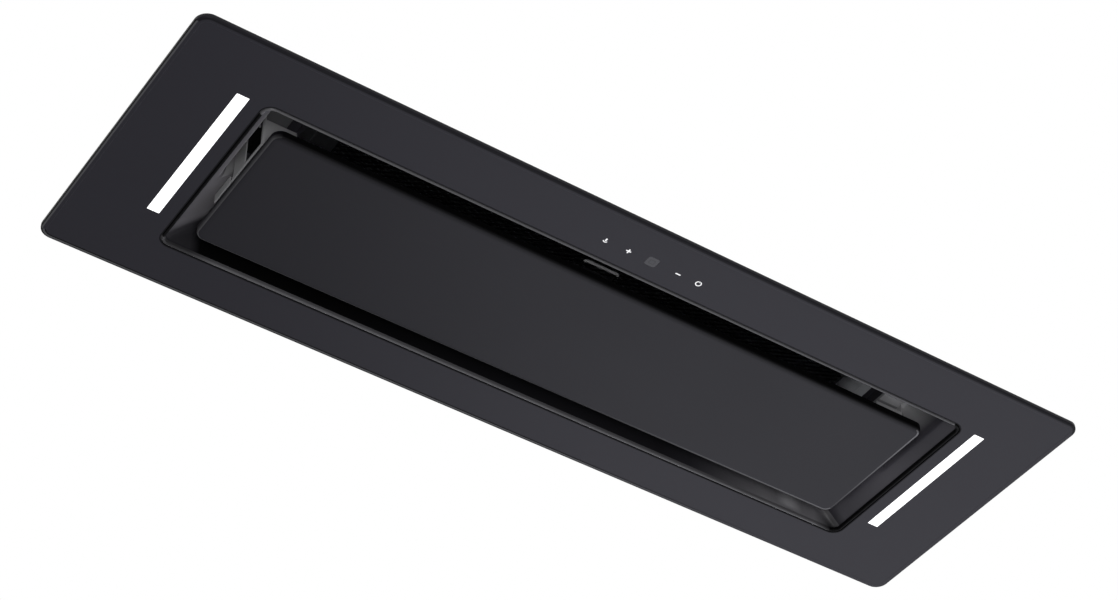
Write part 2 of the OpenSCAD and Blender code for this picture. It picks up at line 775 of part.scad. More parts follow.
module hinge_brackets() {
    ear_r = barrel_r + 0.5;
    color(zinc_steel) for (s = [-1, 1]) translate([s * hinge_x, 0, 0]) difference() {
        union() {
            block([-hinge_plate_x, mouth_rear - hinge_plate_t, hinge_plate_low],
                  [hinge_plate_x, mouth_rear, hinge_plate_high]);
            for (e = [-1, 1]) {
                x0 = e > 0 ? ear_reach - ear_t : -ear_reach;
                bar_x(x0, x0 + ear_t, hinge_y, hinge_z, ear_r);
                block([x0, hinge_y - ear_r, hinge_z], [x0 + ear_t, hinge_y + ear_r, hinge_plate_high]);
                block([x0, hinge_y, hinge_plate_low], [x0 + ear_t, mouth_rear - eps, hinge_plate_high]);
            }
        }
        bar_x(-ear_reach - 1, ear_reach + 1, hinge_y, hinge_z, hinge_pin_r);
        for (p = hinge_screw_places) bar_y(p[0], mouth_rear - 3, mouth_rear + 1, p[1], hinge_screw_r);
    }
}

module hinge_pins() {
    color(plain_steel) for (s = [-1, 1])
        bar_x(s * hinge_x - ear_reach - 0.6, s * hinge_x + ear_reach + 0.6, hinge_y, hinge_z, hinge_pin_r);
}

module hinge_screws() {
    head_y = mouth_rear - hinge_plate_t;
    color(plain_steel) for (s = [-1, 1], p = hinge_screw_places) {
        bar_y(s * hinge_x + p[0], head_y - 1.6, head_y, p[1], hinge_screw_head);
        bar_y(s * hinge_x + p[0], head_y - 1, mouth_rear + 4, p[1], hinge_screw_r);
    }
}

// A bent sheet in a front corner: a front plate, a side plate with a window and a curved foot,
// a low tail behind it and a tab along its top
module catch_bracket(s) {
    inner = catch_x - catch_t;
    side_rear = catch_y + side_len;
    foot_rear = side_rear + foot_r;
    foot_z = catch_z + foot_r;
    rib_y = catch_y + 8;
    color(grey_plastic) mirror([s > 0 ? 0 : 1, 0, 0]) {
        block([catch_x - catch_plate_w, catch_y, catch_z], [catch_x, catch_y + catch_t, catch_plate_z]);
        difference() {
            block([inner, catch_y, catch_z], [catch_x, foot_rear, ledge_z]);
            block([inner - 1, catch_y + catch_t + 0.6, catch_z + 2],
                  [catch_x + 1, catch_y + window_len, window_z]);
            block([inner - 1, side_rear, foot_z], [catch_x + 1, foot_rear + 1, ledge_z + 1]);
            bar_x(inner - 1, catch_x + 1, foot_rear, foot_z, foot_r);
        }
        block([inner, foot_rear - 1, catch_z], [catch_x, foot_rear + 1, catch_z + 1]);
        block([inner, foot_rear + 0.3, catch_z], [catch_x, side_rear + tail_len, tail_z]);
        block([ledge_x + 4, rib_y, ledge_z - catch_t], [catch_x, side_rear, ledge_z]);
        block([ledge_x + 4, rib_y, catch_plate_z - 2], [catch_x, rib_y + catch_t, ledge_z]);
    }
}

module catch_bracket_left() { catch_bracket(-1); }
module catch_bracket_right() { catch_bracket(1); }

module catch_magnets() {
    color(black_plastic) for (s = [-1, 1]) {
        x0 = catch_x - catch_t - 3 - magnet_w;
        x1 = catch_x - catch_t - 3;
        block([s > 0 ? x0 : -x1, magnet_y, magnet_z],
              [s > 0 ? x1 : -x0, magnet_y + magnet_d, magnet_z + magnet_h]);
    }
}

module strike_plates() {
    color(plain_steel) for (s = [-1, 1]) {
        x0 = catch_x - catch_t - 5 - magnet_w;
        x1 = catch_x - catch_t - 3;
        block([s > 0 ? x0 : -x1, magnet_y - 1, panel_top],
              [s > 0 ? x1 : -x0, magnet_y + magnet_d + 1, strike_z]);
    }
}

module filter_frame() {
    tab_z = rail_z;
    latch_slot_w = latch_w / 2 + latch_clear;
    color(aluminium) difference() {
        union() {
            block([-filter_w / 2, filter_front, filter_z],
                  [filter_w / 2, filter_rear, filter_z + filter_h]);
            for (s = [-1, 1])
                block([s * tab_x - tab_w / 2, filter_rear - 1, tab_z],
                      [s * tab_x + tab_w / 2, filter_rear + 4, tab_z + 2]);
        }
        block([-filter_w / 2 + filter_end, filter_front + filter_side, filter_z - 1],
              [filter_w / 2 - filter_end, filter_rear - filter_side, filter_z + filter_h + 1]);
        // Room for the latch tongue and its thumb tab
        block([-latch_slot_w, filter_front - 1, rail_z - latch_clear],
              [latch_slot_w, filter_front + filter_side - 1, rail_z + latch_t + latch_clear]);
        block([-latch_slot_w, filter_front + 2, filter_z - 1],
              [latch_slot_w, filter_front + filter_side - 1, rail_z]);
    }
}

module filter_mesh() {
    mesh_w = filter_w - 2 * filter_end;
    mesh_d = filter_rear - filter_front - 2 * filter_side;
    color([0.2, 0.2, 0.21]) translate([0, (filter_front + filter_rear) / 2, filter_z + filter_h / 2])
        cube([mesh_w, mesh_d, mesh_t], center = true);
}

// Lower face of the mesh pack, which the handle's base sits on
mesh_low = filter_z + (filter_h - mesh_t) / 2;
ear_in = bail_x + bail_r + 0.4;

module handle_plate() {
    pad_front = bail_y - 10;
    color(plain_steel) difference() {
        union() {
            block([-ear_in - 3, pad_front, mesh_low - bail_plate_t], [ear_in + 3, bail_y + 12, mesh_low]);
            for (s = [-1, 1]) translate([s * (ear_in + 0.75), 0, 0]) {
                block([-0.75, bail_y - 3, pivot_z], [0.75, bail_y + 3, mesh_low - eps]);
                bar_x(-0.75, 0.75, bail_y, pivot_z, 3);
            }
        }
        bar_x(-ear_in - 4, ear_in + 4, bail_y, pivot_z, bail_r + bail_clear);
    }
}

module handle_bail() {
    bar_at = bail_y - bail_reach;
    color(aluminium) {
        bar_x(-bail_x, bail_x, bar_at, pivot_z, bail_r);
        for (s = [-1, 1]) {
            translate([s * bail_x, bar_at, pivot_z]) sphere(bail_r);
            bar_y(s * bail_x, bar_at, bail_y, pivot_z, bail_r);
            translate([s * bail_x, bail_y, pivot_z]) sphere(bail_r);
            stub_x = ear_in + 2.2;
            bar_x(s > 0 ? bail_x : -stub_x, s > 0 ? stub_x : -bail_x, bail_y, pivot_z, bail_r);
        }
    }
}

module filter_latch() {
    tip = collar_front - latch_bite;
    heel = filter_front + filter_side - latch_travel - 2;
    color(black_plastic) {
        block([-latch_w / 2, tip, rail_z], [latch_w / 2, heel, rail_z + latch_t]);
        block([-latch_w / 2, filter_front + 2.6, filter_z - 3], [latch_w / 2, heel, rail_z + 1]);
    }
}

module light_diffuser(s) {
    color(white_light) translate([0, 0, face_z]) {
        linear_extrude(face_t + shoulder_t) light_slot(s, -0.15);
        translate([0, 0, face_t]) linear_extrude(shoulder_t) light_slot(s, shoulder_w);
    }
}

module light_diffuser_left() { light_diffuser(-1); }
module light_diffuser_right() { light_diffuser(1); }

module light_channel(s) {
    color(aluminium) translate([0, 0, face_back_z]) difference() {
        linear_extrude(channel_h)
            translate([s * light_x, light_y]) square([channel_w, channel_d], center = true);
        translate([0, 0, -1]) linear_extrude(channel_h - channel_t + 1)
            translate([s * light_x, light_y])
                square([channel_w - 2 * channel_t, channel_d - 2 * channel_t], center = true);
    }
}

module light_channel_left() { light_channel(-1); }
module light_channel_right() { light_channel(1); }

module light_board(s) {
    top = channel_top - channel_t;
    pitch = light_d / lamp_count;
    translate([s * light_x, light_y, 0]) {
        color(green_board) translate([0, 0, top - light_board_t / 2])
            cube([light_w, light_d, light_board_t], center = true);
        color(white_light) for (i = [0 : lamp_count - 1])
            translate([0, (i + 0.5) * pitch - light_d / 2, top - light_board_t - 0.4])
                cube([3, 3, 0.8], center = true);
    }
}

module light_board_left() { light_board(-1); }
module light_board_right() { light_board(1); }

// Printed symbols: lamp, plus, minus and the on and off ring
module touch_symbols() {
    color(white_light) translate([0, touch_y, face_z - print_t]) linear_extrude(print_t) {
        translate([-2 * touch_pitch, 0]) {
            circle(1.9);
            for (a = [0 : 60 : 300]) rotate(a) translate([2.5, -0.3]) square([1.1, 0.6]);
        }
        translate([-touch_pitch, 0]) {
            square([5.4, 1.5], center = true);
            square([1.5, 5.4], center = true);
        }
        translate([touch_pitch + minus_shift, 0]) square([5.6, 1.3], center = true);
        translate([2 * touch_pitch, 0]) {
            difference() {
                circle(3);
                circle(2.2);
                translate([-0.9, -4]) square([1.8, 4]);
            }
            translate([-0.4, -3.4]) square([0.8, 3]);
        }
    }
}

module display_window() {
    color([0.3, 0.3, 0.33]) translate([0, touch_y, face_z]) linear_extrude(face_t)
        square([display_w - 0.2, display_d - 0.2], center = true);
}

module touch_board() {
    color(green_board) translate([0, touch_y, face_back_z + board_t / 2])
        cube([board_w, board_d, board_t], center = true);
}

module touch_cover() {
    color(black_plastic) translate([0, touch_y, face_back_z]) difference() {
        linear_extrude(touch_cover_h) square([board_w + 3.6, board_d + 3], center = true);
        translate([0, 0, -1]) linear_extrude(touch_cover_h - 0.5)
            square([board_w + 0.6, board_d + 0.6], center = true);
    }
}

module cover_section(skin) {
    lean = (cover_crest - cover_front) / (cover_top - cover_shoulder);
    side = body_t * skin;
    polygon([
        [cover_front + side, roof_z - 2 * skin],
        [cover_front + side, cover_shoulder - side * 0.4],
        [cover_crest + side * 0.4, cover_top - side],
        [plenum_rear - side, cover_top - side],
        [plenum_rear - side, roof_z - 2 * skin]
    ]);
}

// Screws through the cover's side flanges and the roof below them
cover_screw_y = [10, 54, 98];
cover_screw_x = cover_w / 2 + cover_flange / 2;

module blower_cover() {
    color(zinc_steel) difference() {
        union() {
            carry_x(-cover_w / 2, cover_w / 2) cover_section(0);
            for (s = [-1, 1])
                translate([s * cover_screw_x, (cover_front + plenum_rear) / 2, roof_z + body_t / 2])
                    cube([cover_flange, plenum_rear - cover_front, body_t], center = true);
        }
        carry_x(-cover_w / 2 + body_t, cover_w / 2 - body_t) cover_section(1);
        for (s = [-1, 1]) {
            // Outlet windows in the rear wall, in line with the scrolls
            x0 = scroll_in + scroll_t;
            x1 = scroll_out - scroll_t;
            block([s > 0 ? x0 : -x1, rear_face - 1, tongue_z], [s > 0 ? x1 : -x0, plenum_rear + 1, throat_z]);
            for (y = cover_screw_y)
                translate([s * cover_screw_x, y, roof_z - 1]) cylinder(r = body_screw_r, h = 4);
        }
        for (p = collar_screw_places) bar_y(p[0], rear_face - 1, plenum_rear + 1, p[1], body_screw_r);
    }
}

// Outline of the scroll in Y and Z: a spiral that grows from the tongue round to the throat
function scroll_r(a) = scroll_r0 + (scroll_r1 - scroll_r0) * max(0, a) / 270;
function scroll_points(skin) = concat(
    [for (a = [-12 : 6 : 270])
        [fan_y + (scroll_r(a) + skin) * cos(a), fan_z - (scroll_r(a) + skin) * sin(a)]],
    [[rear_face + (skin > 0 ? 0 : 1), throat_z + skin], [rear_face + (skin > 0 ? 0 : 1), tongue_z - skin]]
);

module scroll(s) {
    color(black_plastic) mirror([s > 0 ? 0 : 1, 0, 0]) difference() {
        union() {
            carry_x(scroll_in, scroll_out) polygon(scroll_points(scroll_t));
            // Flange against the rear wall
            block([scroll_in - 1, rear_face - 2, tongue_z - 6], [scroll_out + 6, rear_face, throat_z + 6]);
        }
        carry_x(scroll_in + scroll_t, scroll_out - scroll_t) polygon(scroll_points(0));
        bar_x(scroll_out - scroll_t - 1, scroll_out + 1, fan_y, fan_z, inlet_r + scroll_t);
        bar_x(scroll_in - 1, scroll_in + scroll_t + 1, fan_y, fan_z, bearing_r + 8);
    }
}

module scroll_left() { scroll(-1); }
module scroll_right() { scroll(1); }

module inlet_rings() {
    color(black_plastic) for (s = [-1, 1]) mirror([s > 0 ? 0 : 1, 0, 0])
        translate([scroll_out, fan_y, fan_z]) rotate([0, 90, 0]) rotate_extrude() {
            translate([inlet_r, -fan_gap - scroll_t + 1]) square([scroll_t, fan_gap + scroll_t + 1]);
            translate([inlet_r, 0]) square([8, 2]);
        }
}

module impeller(s) {
    blade_r = fan_r - blade_d / 2;
    color([0.2, 0.2, 0.22]) mirror([s > 0 ? 0 : 1, 0, 0]) difference() {
        union() {
            bar_x(fan_in, fan_in + 1.5, fan_y, fan_z, fan_r);
            bar_x(fan_in, fan_in + 16, fan_y, fan_z, 3 * shaft_r);
            translate([fan_out - 2, fan_y, fan_z]) rotate([0, 90, 0]) difference() {
                cylinder(r = fan_r, h = 2);
                translate([0, 0, -1]) cylinder(r = fan_r - blade_d, h = 4);
            }
            for (i = [0 : blade_count - 1])
                translate([fan_in + 1, fan_y, fan_z]) rotate([i * 360 / blade_count, 0, 0])
                    translate([0, blade_r, 0]) rotate([35, 0, 0])
                        translate([0, -blade_d / 2 + 0.5, -blade_t / 2])
                            cube([fan_w - 2, blade_d - 1, blade_t]);
        }
        bar_x(fan_in - 1, fan_in + 20, fan_y, fan_z, shaft_r);
    }
}

module impeller_left() { impeller(-1); }
module impeller_right() { impeller(1); }

module fan_shaft() {
    color(plain_steel) bar_x(-fan_in - 18, fan_in + 18, fan_y, fan_z, shaft_r);
}

module shaft_bearings() {
    color(plain_steel) for (s = [-1, 1]) mirror([s > 0 ? 0 : 1, 0, 0]) difference() {
        bar_x(motor_x - bearing_w, motor_x, fan_y, fan_z, bearing_r);
        bar_x(motor_x - bearing_w - 1, motor_x + 1, fan_y, fan_z, shaft_r + shaft_clear);
    }
}

module motor_body() {
    color(plain_steel) difference() {
        union() {
            bar_x(-motor_x + 6, motor_x - 6, fan_y, fan_z, motor_r);
            bar_x(-motor_x, motor_x, fan_y, fan_z, motor_r * 0.7);
        }
        bar_x(-motor_x - 1, motor_x + 1, fan_y, fan_z, shaft_r + 2);
        for (s = [-1, 1]) mirror([s > 0 ? 0 : 1, 0, 0])
            bar_x(motor_x - bearing_w, motor_x + 1, fan_y, fan_z, bearing_r);
    }
}

module motor_plates() {
    color(zinc_steel) for (s = [-1, 1]) mirror([s > 0 ? 0 : 1, 0, 0]) difference() {
        bar_x(motor_x, motor_x + motor_plate_t, fan_y, fan_z, motor_plate_r);
        bar_x(motor_x - 1, motor_x + motor_plate_t + 1, fan_y, fan_z, shaft_r + 3);
    }
}

module motor_isolators() {
    color(black_plastic) for (s = [-1, 1]) mirror([s > 0 ? 0 : 1, 0, 0]) difference() {
        bar_x(motor_x + motor_plate_t, scroll_in, fan_y, fan_z, motor_plate_r - 2);
        bar_x(motor_x, scroll_in + 1, fan_y, fan_z, motor_plate_r - 2 - isolator_w);
    }
}

capacitor_y = fan_y + 6;
capacitor_z = cover_top - body_t - capacitor_r - 6;

module capacitor() {
    color([0.85, 0.85, 0.83])
        bar_x(-capacitor_len / 2, capacitor_len / 2, capacitor_y, capacitor_z, capacitor_r);
}

module capacitor_clip() {
    color(zinc_steel) {
        difference() {
            bar_x(-6, 6, capacitor_y, capacitor_z, capacitor_r + 1);
            bar_x(-7, 7, capacitor_y, capacitor_z, capacitor_r);
        }
        difference() {
            block([-6, capacitor_y - 5, capacitor_z], [6, capacitor_y + 5, cover_top - body_t]);
            bar_x(-7, 7, capacitor_y, capacitor_z, capacitor_r + 0.5);
        }
    }
}

// Screws through the collar's flange and the cover's rear wall
collar_screw_places = [
    for (x = [-1, 1], z = [-1, 1]) [x * (duct_w / 2 + duct_flange / 2), duct_z + z * duct_h / 3]
];

module discharge_collar() {
    color(zinc_steel) difference() {
        union() {
            block([-duct_w / 2 - duct_flange, plenum_rear, duct_z - duct_h / 2 - 4],
                  [duct_w / 2 + duct_flange, plenum_rear + duct_t, duct_z + duct_h / 2 + 4]);
            block([-duct_w / 2, plenum_rear, duct_z - duct_h / 2],
                  [duct_w / 2, duct_end, duct_z + duct_h / 2]);
        }
        difference() {
            block([-duct_w / 2 + duct_t, plenum_rear - 1, duct_z - duct_h / 2 + duct_t],
                  [duct_w / 2 - duct_t, duct_end + 1, duct_z + duct_h / 2 - duct_t]);
            // Stop that the closed flap rests against
            block([-duct_w / 2, rod_y - 4, duct_z - duct_h / 2],
                  [duct_w / 2, rod_y - flap_t / 2 - 0.3, flap_low + 3]);
        }
        bar_x(-duct_w / 2 - 1, duct_w / 2 + 1, rod_y, rod_z, rod_r);
        for (p = collar_screw_places) bar_y(p[0], plenum_rear - 1, plenum_rear + 3, p[1], body_screw_r);
    }
}

// A screw that points down, with the underside of its head at the origin
module body_screw() {
    cylinder(r = 2 * body_screw_r, h = body_screw_r);
    translate([0, 0, -body_screw_len]) cylinder(r = body_screw_r, h = body_screw_len + 1);
}

module body_screws() {
    color(plain_steel) {
        for (s = [-1, 1], y = housing_screw_y)
            translate([s * housing_screw_x, y, deck_z + body_t]) body_screw();
        for (s = [-1, 1], y = cover_screw_y)
            translate([s * cover_screw_x, y, roof_z + body_t]) body_screw();
        for (p = collar_screw_places)
            translate([p[0], plenum_rear + duct_t, p[1]]) rotate([-90, 0, 0]) body_screw();
    }
}

module damper_rod() {
    color(plain_steel) bar_x(-duct_w / 2 - 1.5, duct_w / 2 + 1.5, rod_y, rod_z, rod_r);
}

module damper_flap() {
    color(aluminium) difference() {
        union() {
            bar_x(-flap_w / 2, flap_w / 2, rod_y, rod_z, rod_r + rod_clear + 1.2);
            block([-flap_w / 2, rod_y - flap_t / 2, flap_low], [flap_w / 2, rod_y + flap_t / 2, rod_z]);
        }
        bar_x(-flap_w, flap_w, rod_y, rod_z, rod_r + rod_clear);
    }
}

lead_y = cover_front - lead_ahead;
ebox_x = -cover_w / 2 - ebox_gap - ebox_w;
ebox_y = cover_front - ebox_ahead;
driver_x = cover_w / 2 + driver_gap;
ebox_right = ebox_x + ebox_w;
ebox_rear = ebox_y + ebox_d;
ebox_top = roof_z + ebox_h;
gland_x = ebox_x + 30;
gland_z = roof_z + ebox_h / 2;

module control_box() {
    color(grey_plastic) difference() {
        block([ebox_x, ebox_y, roof_z], [ebox_right, ebox_rear, ebox_top]);
        block([ebox_x + ebox_t, ebox_y + ebox_t, roof_z + ebox_t],
              [ebox_right - ebox_t, ebox_rear - ebox_t, ebox_top + 1]);
        bar_y(gland_x, ebox_rear - ebox_t - 1, ebox_rear + 1, gland_z, gland_r - 2);
        bar_x(ebox_right - ebox_t - 1, ebox_right + 1, lead_y, lead_z, lead_r);
    }
}

module control_lid() {
    color(grey_plastic) {
        block([ebox_x, ebox_y, ebox_top], [ebox_right, ebox_rear, ebox_top + lid_t]);
        for (x = [ebox_x + 8, ebox_right - 8], y = [ebox_y + 8, ebox_rear - 8])
            translate([x, y, ebox_top + lid_t]) cylinder(r = 3.2, h = 1.2);
    }
}

// The control board stands on four posts and leaves room for the terminals beside it and the gland behind it
board_edge = 4;
board_right_room = 34;
board_rear_room = 26;
board_post_in = 4;
board_post_r = 2.5;
board_post_h = 5;
relay_from_left = 18;
relay_from_front = 14;
relay_w = 24;
relay_d = 18;
relay_h = 14;

module control_board() {
    base = roof_z + ebox_t;
    board_z = base + board_post_h;
    left = ebox_x + ebox_t + board_edge;
    front = ebox_y + ebox_t + board_edge;
    right = ebox_right - ebox_t - board_right_room;
    rear = ebox_rear - ebox_t - board_rear_room;
    relay_x = ebox_x + ebox_t + relay_from_left;
    relay_y = ebox_y + ebox_t + relay_from_front;
    color(green_board) {
        block([left, front, board_z], [right, rear, board_z + board_t]);
        for (x = [left + board_post_in, right - board_post_in])
            for (y = [front + board_post_in, rear - board_post_in])
                translate([x, y, base]) cylinder(r = board_post_r, h = board_post_h);
    }
    color(black_plastic) block([relay_x, relay_y, board_z + board_t],
                               [relay_x + relay_w, relay_y + relay_d, board_z + board_t + relay_h]);
}

// Three terminals in a block beside the control board
terminal_w = 20;
terminal_d = 36;
terminal_h = 16;
terminal_pitch = 12;
terminal_hole_r = 2.4;
terminal_hole_floor = 6;
terminal_right_room = 8;
terminal_front_room = 10;

module terminal_block() {
    base = roof_z + ebox_t;
    right = ebox_right - ebox_t - terminal_right_room;
    front = ebox_y + ebox_t + terminal_front_room;
    color([0.9, 0.9, 0.88]) difference() {
        block([right - terminal_w, front, base], [right, front + terminal_d, base + terminal_h]);
        for (i = [0 : 2]) {
            hole_y = front + (i + 0.5) * terminal_pitch;
            translate([right - terminal_w / 2, hole_y, base + terminal_hole_floor])
                cylinder(r = terminal_hole_r, h = terminal_h);
        }
    }
}

module mains_gland() {
    color(black_plastic) difference() {
        union() {
            bar_y(gland_x, ebox_rear - ebox_t - 3, ebox_rear + 1, gland_z, gland_r - 2);
            bar_y(gland_x, ebox_rear, ebox_rear + gland_len, gland_z, gland_r - 1);
            translate([gland_x, ebox_rear, gland_z]) rotate([-90, 0, 0])
                cylinder(r = gland_r + 1.5, h = 5, $fn = 6);
            bar_y(gland_x, ebox_rear + 8, ebox_rear + gland_len - 3, gland_z, gland_r);
        }
        bar_y(gland_x, ebox_rear - ebox_t - 4, ebox_rear + gland_len + 1, gland_z, gland_bore_r);
    }
}

lead_z = roof_z + lead_r + 4;

module light_driver() {
    mid_y = lead_y + 6;
    color([0.92, 0.92, 0.9]) {
        block([driver_x, mid_y - driver_d / 2, roof_z],
              [driver_x + driver_w, mid_y + driver_d / 2, roof_z + driver_h]);
        for (x = [driver_x - 8, driver_x + driver_w])
            block([x, mid_y - 1, roof_z], [x + 8, mid_y + 13, roof_z + 2]);
    }
}

module driver_lead() {
    color(black_plastic) bar_x(ebox_right - ebox_t - 4, driver_x, lead_y, lead_z, lead_r);
}

module lead_clips() {
    wrap_r = lead_r + 1.2;
    color(black_plastic) for (s = [-1, 1]) translate([s * clip_x, 0, 0]) difference() {
        union() {
            bar_x(-clip_w / 2, clip_w / 2, lead_y, lead_z, wrap_r);
            block([-clip_w / 2, lead_y + 2 - clip_foot, roof_z], [clip_w / 2, lead_y + 2, roof_z + 1.5]);
            block([-clip_w / 2, lead_y - 2, roof_z], [clip_w / 2, lead_y + 2, lead_z]);
        }
        bar_x(-clip_w, clip_w, lead_y, lead_z, lead_r);
    }
}

face_plate();
mounting_flange();
low_body();
plenum_housing();
plenum_floor();
recess_tray();
tray_screws();
suction_panel();
panel_backing();
hinge_arms();
strike_plates();
hinge_brackets();
hinge_pins();
hinge_screws();
catch_bracket_left();
catch_bracket_right();
catch_magnets();
filter_frame();
filter_mesh();
handle_plate();
handle_bail();
filter_latch();
light_diffuser_left();
light_diffuser_right();
light_board_left();
light_board_right();
light_channel_left();
light_channel_right();
touch_symbols();
display_window();
touch_board();
touch_cover();
blower_cover();
scroll_left();
scroll_right();
inlet_rings();
impeller_left();
impeller_right();
fan_shaft();
shaft_bearings();
motor_body();
motor_plates();
motor_isolators();
capacitor();
capacitor_clip();
discharge_collar();
damper_rod();
damper_flap();
control_box();
control_lid();
control_board();
terminal_block();
mains_gland();
light_driver();
driver_lead();
lead_clips();
body_screws();
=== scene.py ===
"""The looks of the undermount range hood: its finishes, its detailed pieces, the studio and the camera."""
import bpy
import json
import math
import numpy as np
from mathutils import Matrix, Vector
from mathutils.geometry import tessellate_polygon


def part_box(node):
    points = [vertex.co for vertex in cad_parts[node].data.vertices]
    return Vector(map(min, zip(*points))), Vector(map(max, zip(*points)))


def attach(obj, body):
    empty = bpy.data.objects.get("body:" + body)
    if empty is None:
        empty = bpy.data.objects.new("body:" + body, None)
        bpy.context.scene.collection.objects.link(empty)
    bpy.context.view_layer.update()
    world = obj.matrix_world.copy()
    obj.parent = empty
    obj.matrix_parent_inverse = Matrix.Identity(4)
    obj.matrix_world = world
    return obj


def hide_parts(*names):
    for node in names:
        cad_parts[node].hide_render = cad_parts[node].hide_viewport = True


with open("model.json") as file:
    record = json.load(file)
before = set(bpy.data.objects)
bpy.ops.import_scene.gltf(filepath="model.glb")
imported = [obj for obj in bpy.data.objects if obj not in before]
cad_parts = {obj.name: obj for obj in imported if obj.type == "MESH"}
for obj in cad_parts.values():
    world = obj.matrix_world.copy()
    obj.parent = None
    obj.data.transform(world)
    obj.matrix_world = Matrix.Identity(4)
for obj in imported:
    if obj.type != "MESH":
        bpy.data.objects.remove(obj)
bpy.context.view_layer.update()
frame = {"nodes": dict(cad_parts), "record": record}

MM = 0.001


def span(node):
    """Lowest and highest corner of a CAD node in millimetres."""
    return [np.array(corner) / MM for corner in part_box(node)]


def centre(node):
    """Middle of a CAD node's box in millimetres."""
    return sum(span(node)) / 2


# Camera, first of all that the script makes

CAMERA_AT = (-0.94329, -1.38608, -1.51633)
CAMERA_AZIMUTH = -33.664
CAMERA_ELEVATION = -42.788
CAMERA_LENS = 87.2919


def make_camera():
    """Camera below, in front of and to the left of the hood, looking up and kept upright."""
    a, e = math.radians(CAMERA_AZIMUTH), math.radians(CAMERA_ELEVATION)
    back = Vector((math.sin(a) * math.cos(e), -math.cos(a) * math.cos(e), math.sin(e)))
    right = Vector((0, 0, 1)).cross(back).normalized()
    up = back.cross(right)
    data = bpy.data.cameras.new("camera")
    data.lens, data.sensor_width = CAMERA_LENS, 36.0
    data.clip_start, data.clip_end = 0.05, 50.0
    camera = bpy.data.objects.new("camera", data)
    camera.matrix_world = Matrix.Translation(CAMERA_AT) @ Matrix((right, up, back)).transposed().to_4x4()
    bpy.context.scene.collection.objects.link(camera)
    bpy.context.scene.camera = camera


make_camera()
bpy.context.scene.view_settings.view_transform = "Standard"


# Shader maths

class Value:
    """A shader socket that can be used in plain expressions: each operation adds its Math node."""

    def __init__(self, tree, socket):
        self.tree, self.socket = tree, socket

    def work_out(self, operation, *terms):
        node = self.tree.nodes.new("ShaderNodeMath")
        node.operation = operation
        for slot, term in zip(node.inputs, terms):
            connect(self.tree, slot, term)
        return Value(self.tree, node.outputs[0])

    def __rsub__(self, other):
        return self.work_out("SUBTRACT", other, self)


def add_method(name, operation):
    """Gives Value a method that works out one operation with the value as its first term."""
    setattr(Value, name, lambda self, *others: self.work_out(operation, self, *others))


for method_name, math_operation in {
        "__add__": "ADD", "__radd__": "ADD", "__sub__": "SUBTRACT", "__mul__": "MULTIPLY",
        "__rmul__": "MULTIPLY", "__truediv__": "DIVIDE", "__pow__": "POWER", "less": "LESS_THAN",
        "above": "GREATER_THAN", "size": "ABSOLUTE", "wave": "SINE", "low": "MINIMUM",
        "high": "MAXIMUM"}.items():
    add_method(method_name, math_operation)


def connect(tree, slot, value):
    """Links a socket or sets a plain value."""
    if isinstance(value, Value):
        tree.links.new(value.socket, slot)
    elif isinstance(value, tuple) and slot.type == "RGBA":
        slot.default_value = (*value, 1.0)
    else:
        slot.default_value = value


class Finish:
    """One material while it is built."""

    def __init__(self, name):
        self.material = bpy.data.materials.new(name)
        self.material.use_nodes = True
        self.tree = self.material.node_tree
        self.tree.nodes.clear()
        self.out = self.tree.nodes.new("ShaderNodeOutputMaterial")

    def add(self, kind, settings=None, values=None, out=0):
        """Adds a node: its settings first, then the values or links of its sockets. Returns one output."""
        node = self.tree.nodes.new(kind)
        for key, setting in (settings or {}).items():
            setattr(node, key, setting)
        for key, value in (values or {}).items():
            connect(self.tree, node.inputs[key], value)
        return Value(self.tree, node.outputs[out])

    def place(self):
        return self.add("ShaderNodeTexCoord", out="Object")

    def stretch(self, x, y, z):
        """Object coordinates in metres times three factors."""
        return self.add("ShaderNodeMapping", None, {"Vector": self.place(), "Scale": (x, y, z)})

    def axes(self, vector=None):
        """The three coordinates of a place, or parts of a colour, as separate values."""
        node = self.tree.nodes.new("ShaderNodeSeparateXYZ")
        connect(self.tree, node.inputs[0], vector or self.place())
        return [Value(self.tree, out) for out in node.outputs]

    def millimetres(self):
        """Object coordinates as three values in millimetres."""
        return [value * (1 / MM) for value in self.axes()]

    def noise(self, scale, detail=2, roughness=0.5, vector=None, out="Fac"):
        return self.add("ShaderNodeTexNoise", None, {
            "Vector": vector or self.place(), "Scale": scale, "Detail": detail, "Roughness": roughness}, out)

    def blend(self, mask, low, high):
        """Colour low where the mask is 0 and high where it is 1."""
        return self.add("ShaderNodeMix", {"data_type": "RGBA"}, {0: mask, 6: low, 7: high}, 2)

    def bump(self, height, depth_mm, strength=1.0):
        """Surface normal from a height of 0 to 1, over edges softened a little."""
        soft = self.add("ShaderNodeBevel", {"samples": 4}, {"Radius": 0.35 * MM})
        return self.add("ShaderNodeBump", None, {
            "Strength": strength, "Distance": depth_mm * MM, "Height": height, "Normal": soft})

    def shader(self, colour, roughness, metallic=0.0, normal=None, level=0.5, **more):
        """Adds a Principled shader. level, and what more holds, are constants."""
        values = {"Base Color": colour, "Roughness": roughness, "Metallic": metallic,
                  "Specular IOR Level": level}
        values.update({key.replace("_", " "): value for key, value in more.items()})
        if normal is not None:
            values["Normal"] = normal
        return self.add("ShaderNodeBsdfPrincipled", None, values)

    def close(self, shader):
        """Links a shader to the output and returns the material."""
        connect(self.tree, self.out.inputs["Surface"], shader)
        return self.material

    def surface(self, *values, **more):
        """Closes the material with one Principled shader."""
        return self.close(self.shader(*values, **more))

    def layered(self, mask, under, over):
        """Closes the material with one shader where the mask is 0 and another where it is 1."""
        return self.close(self.add("ShaderNodeMixShader", None, {0: mask, 1: under, 2: over}))


def between(value, low, high):
    """1 where the value lies between two limits, else 0."""
    return value.above(low) * value.less(high)


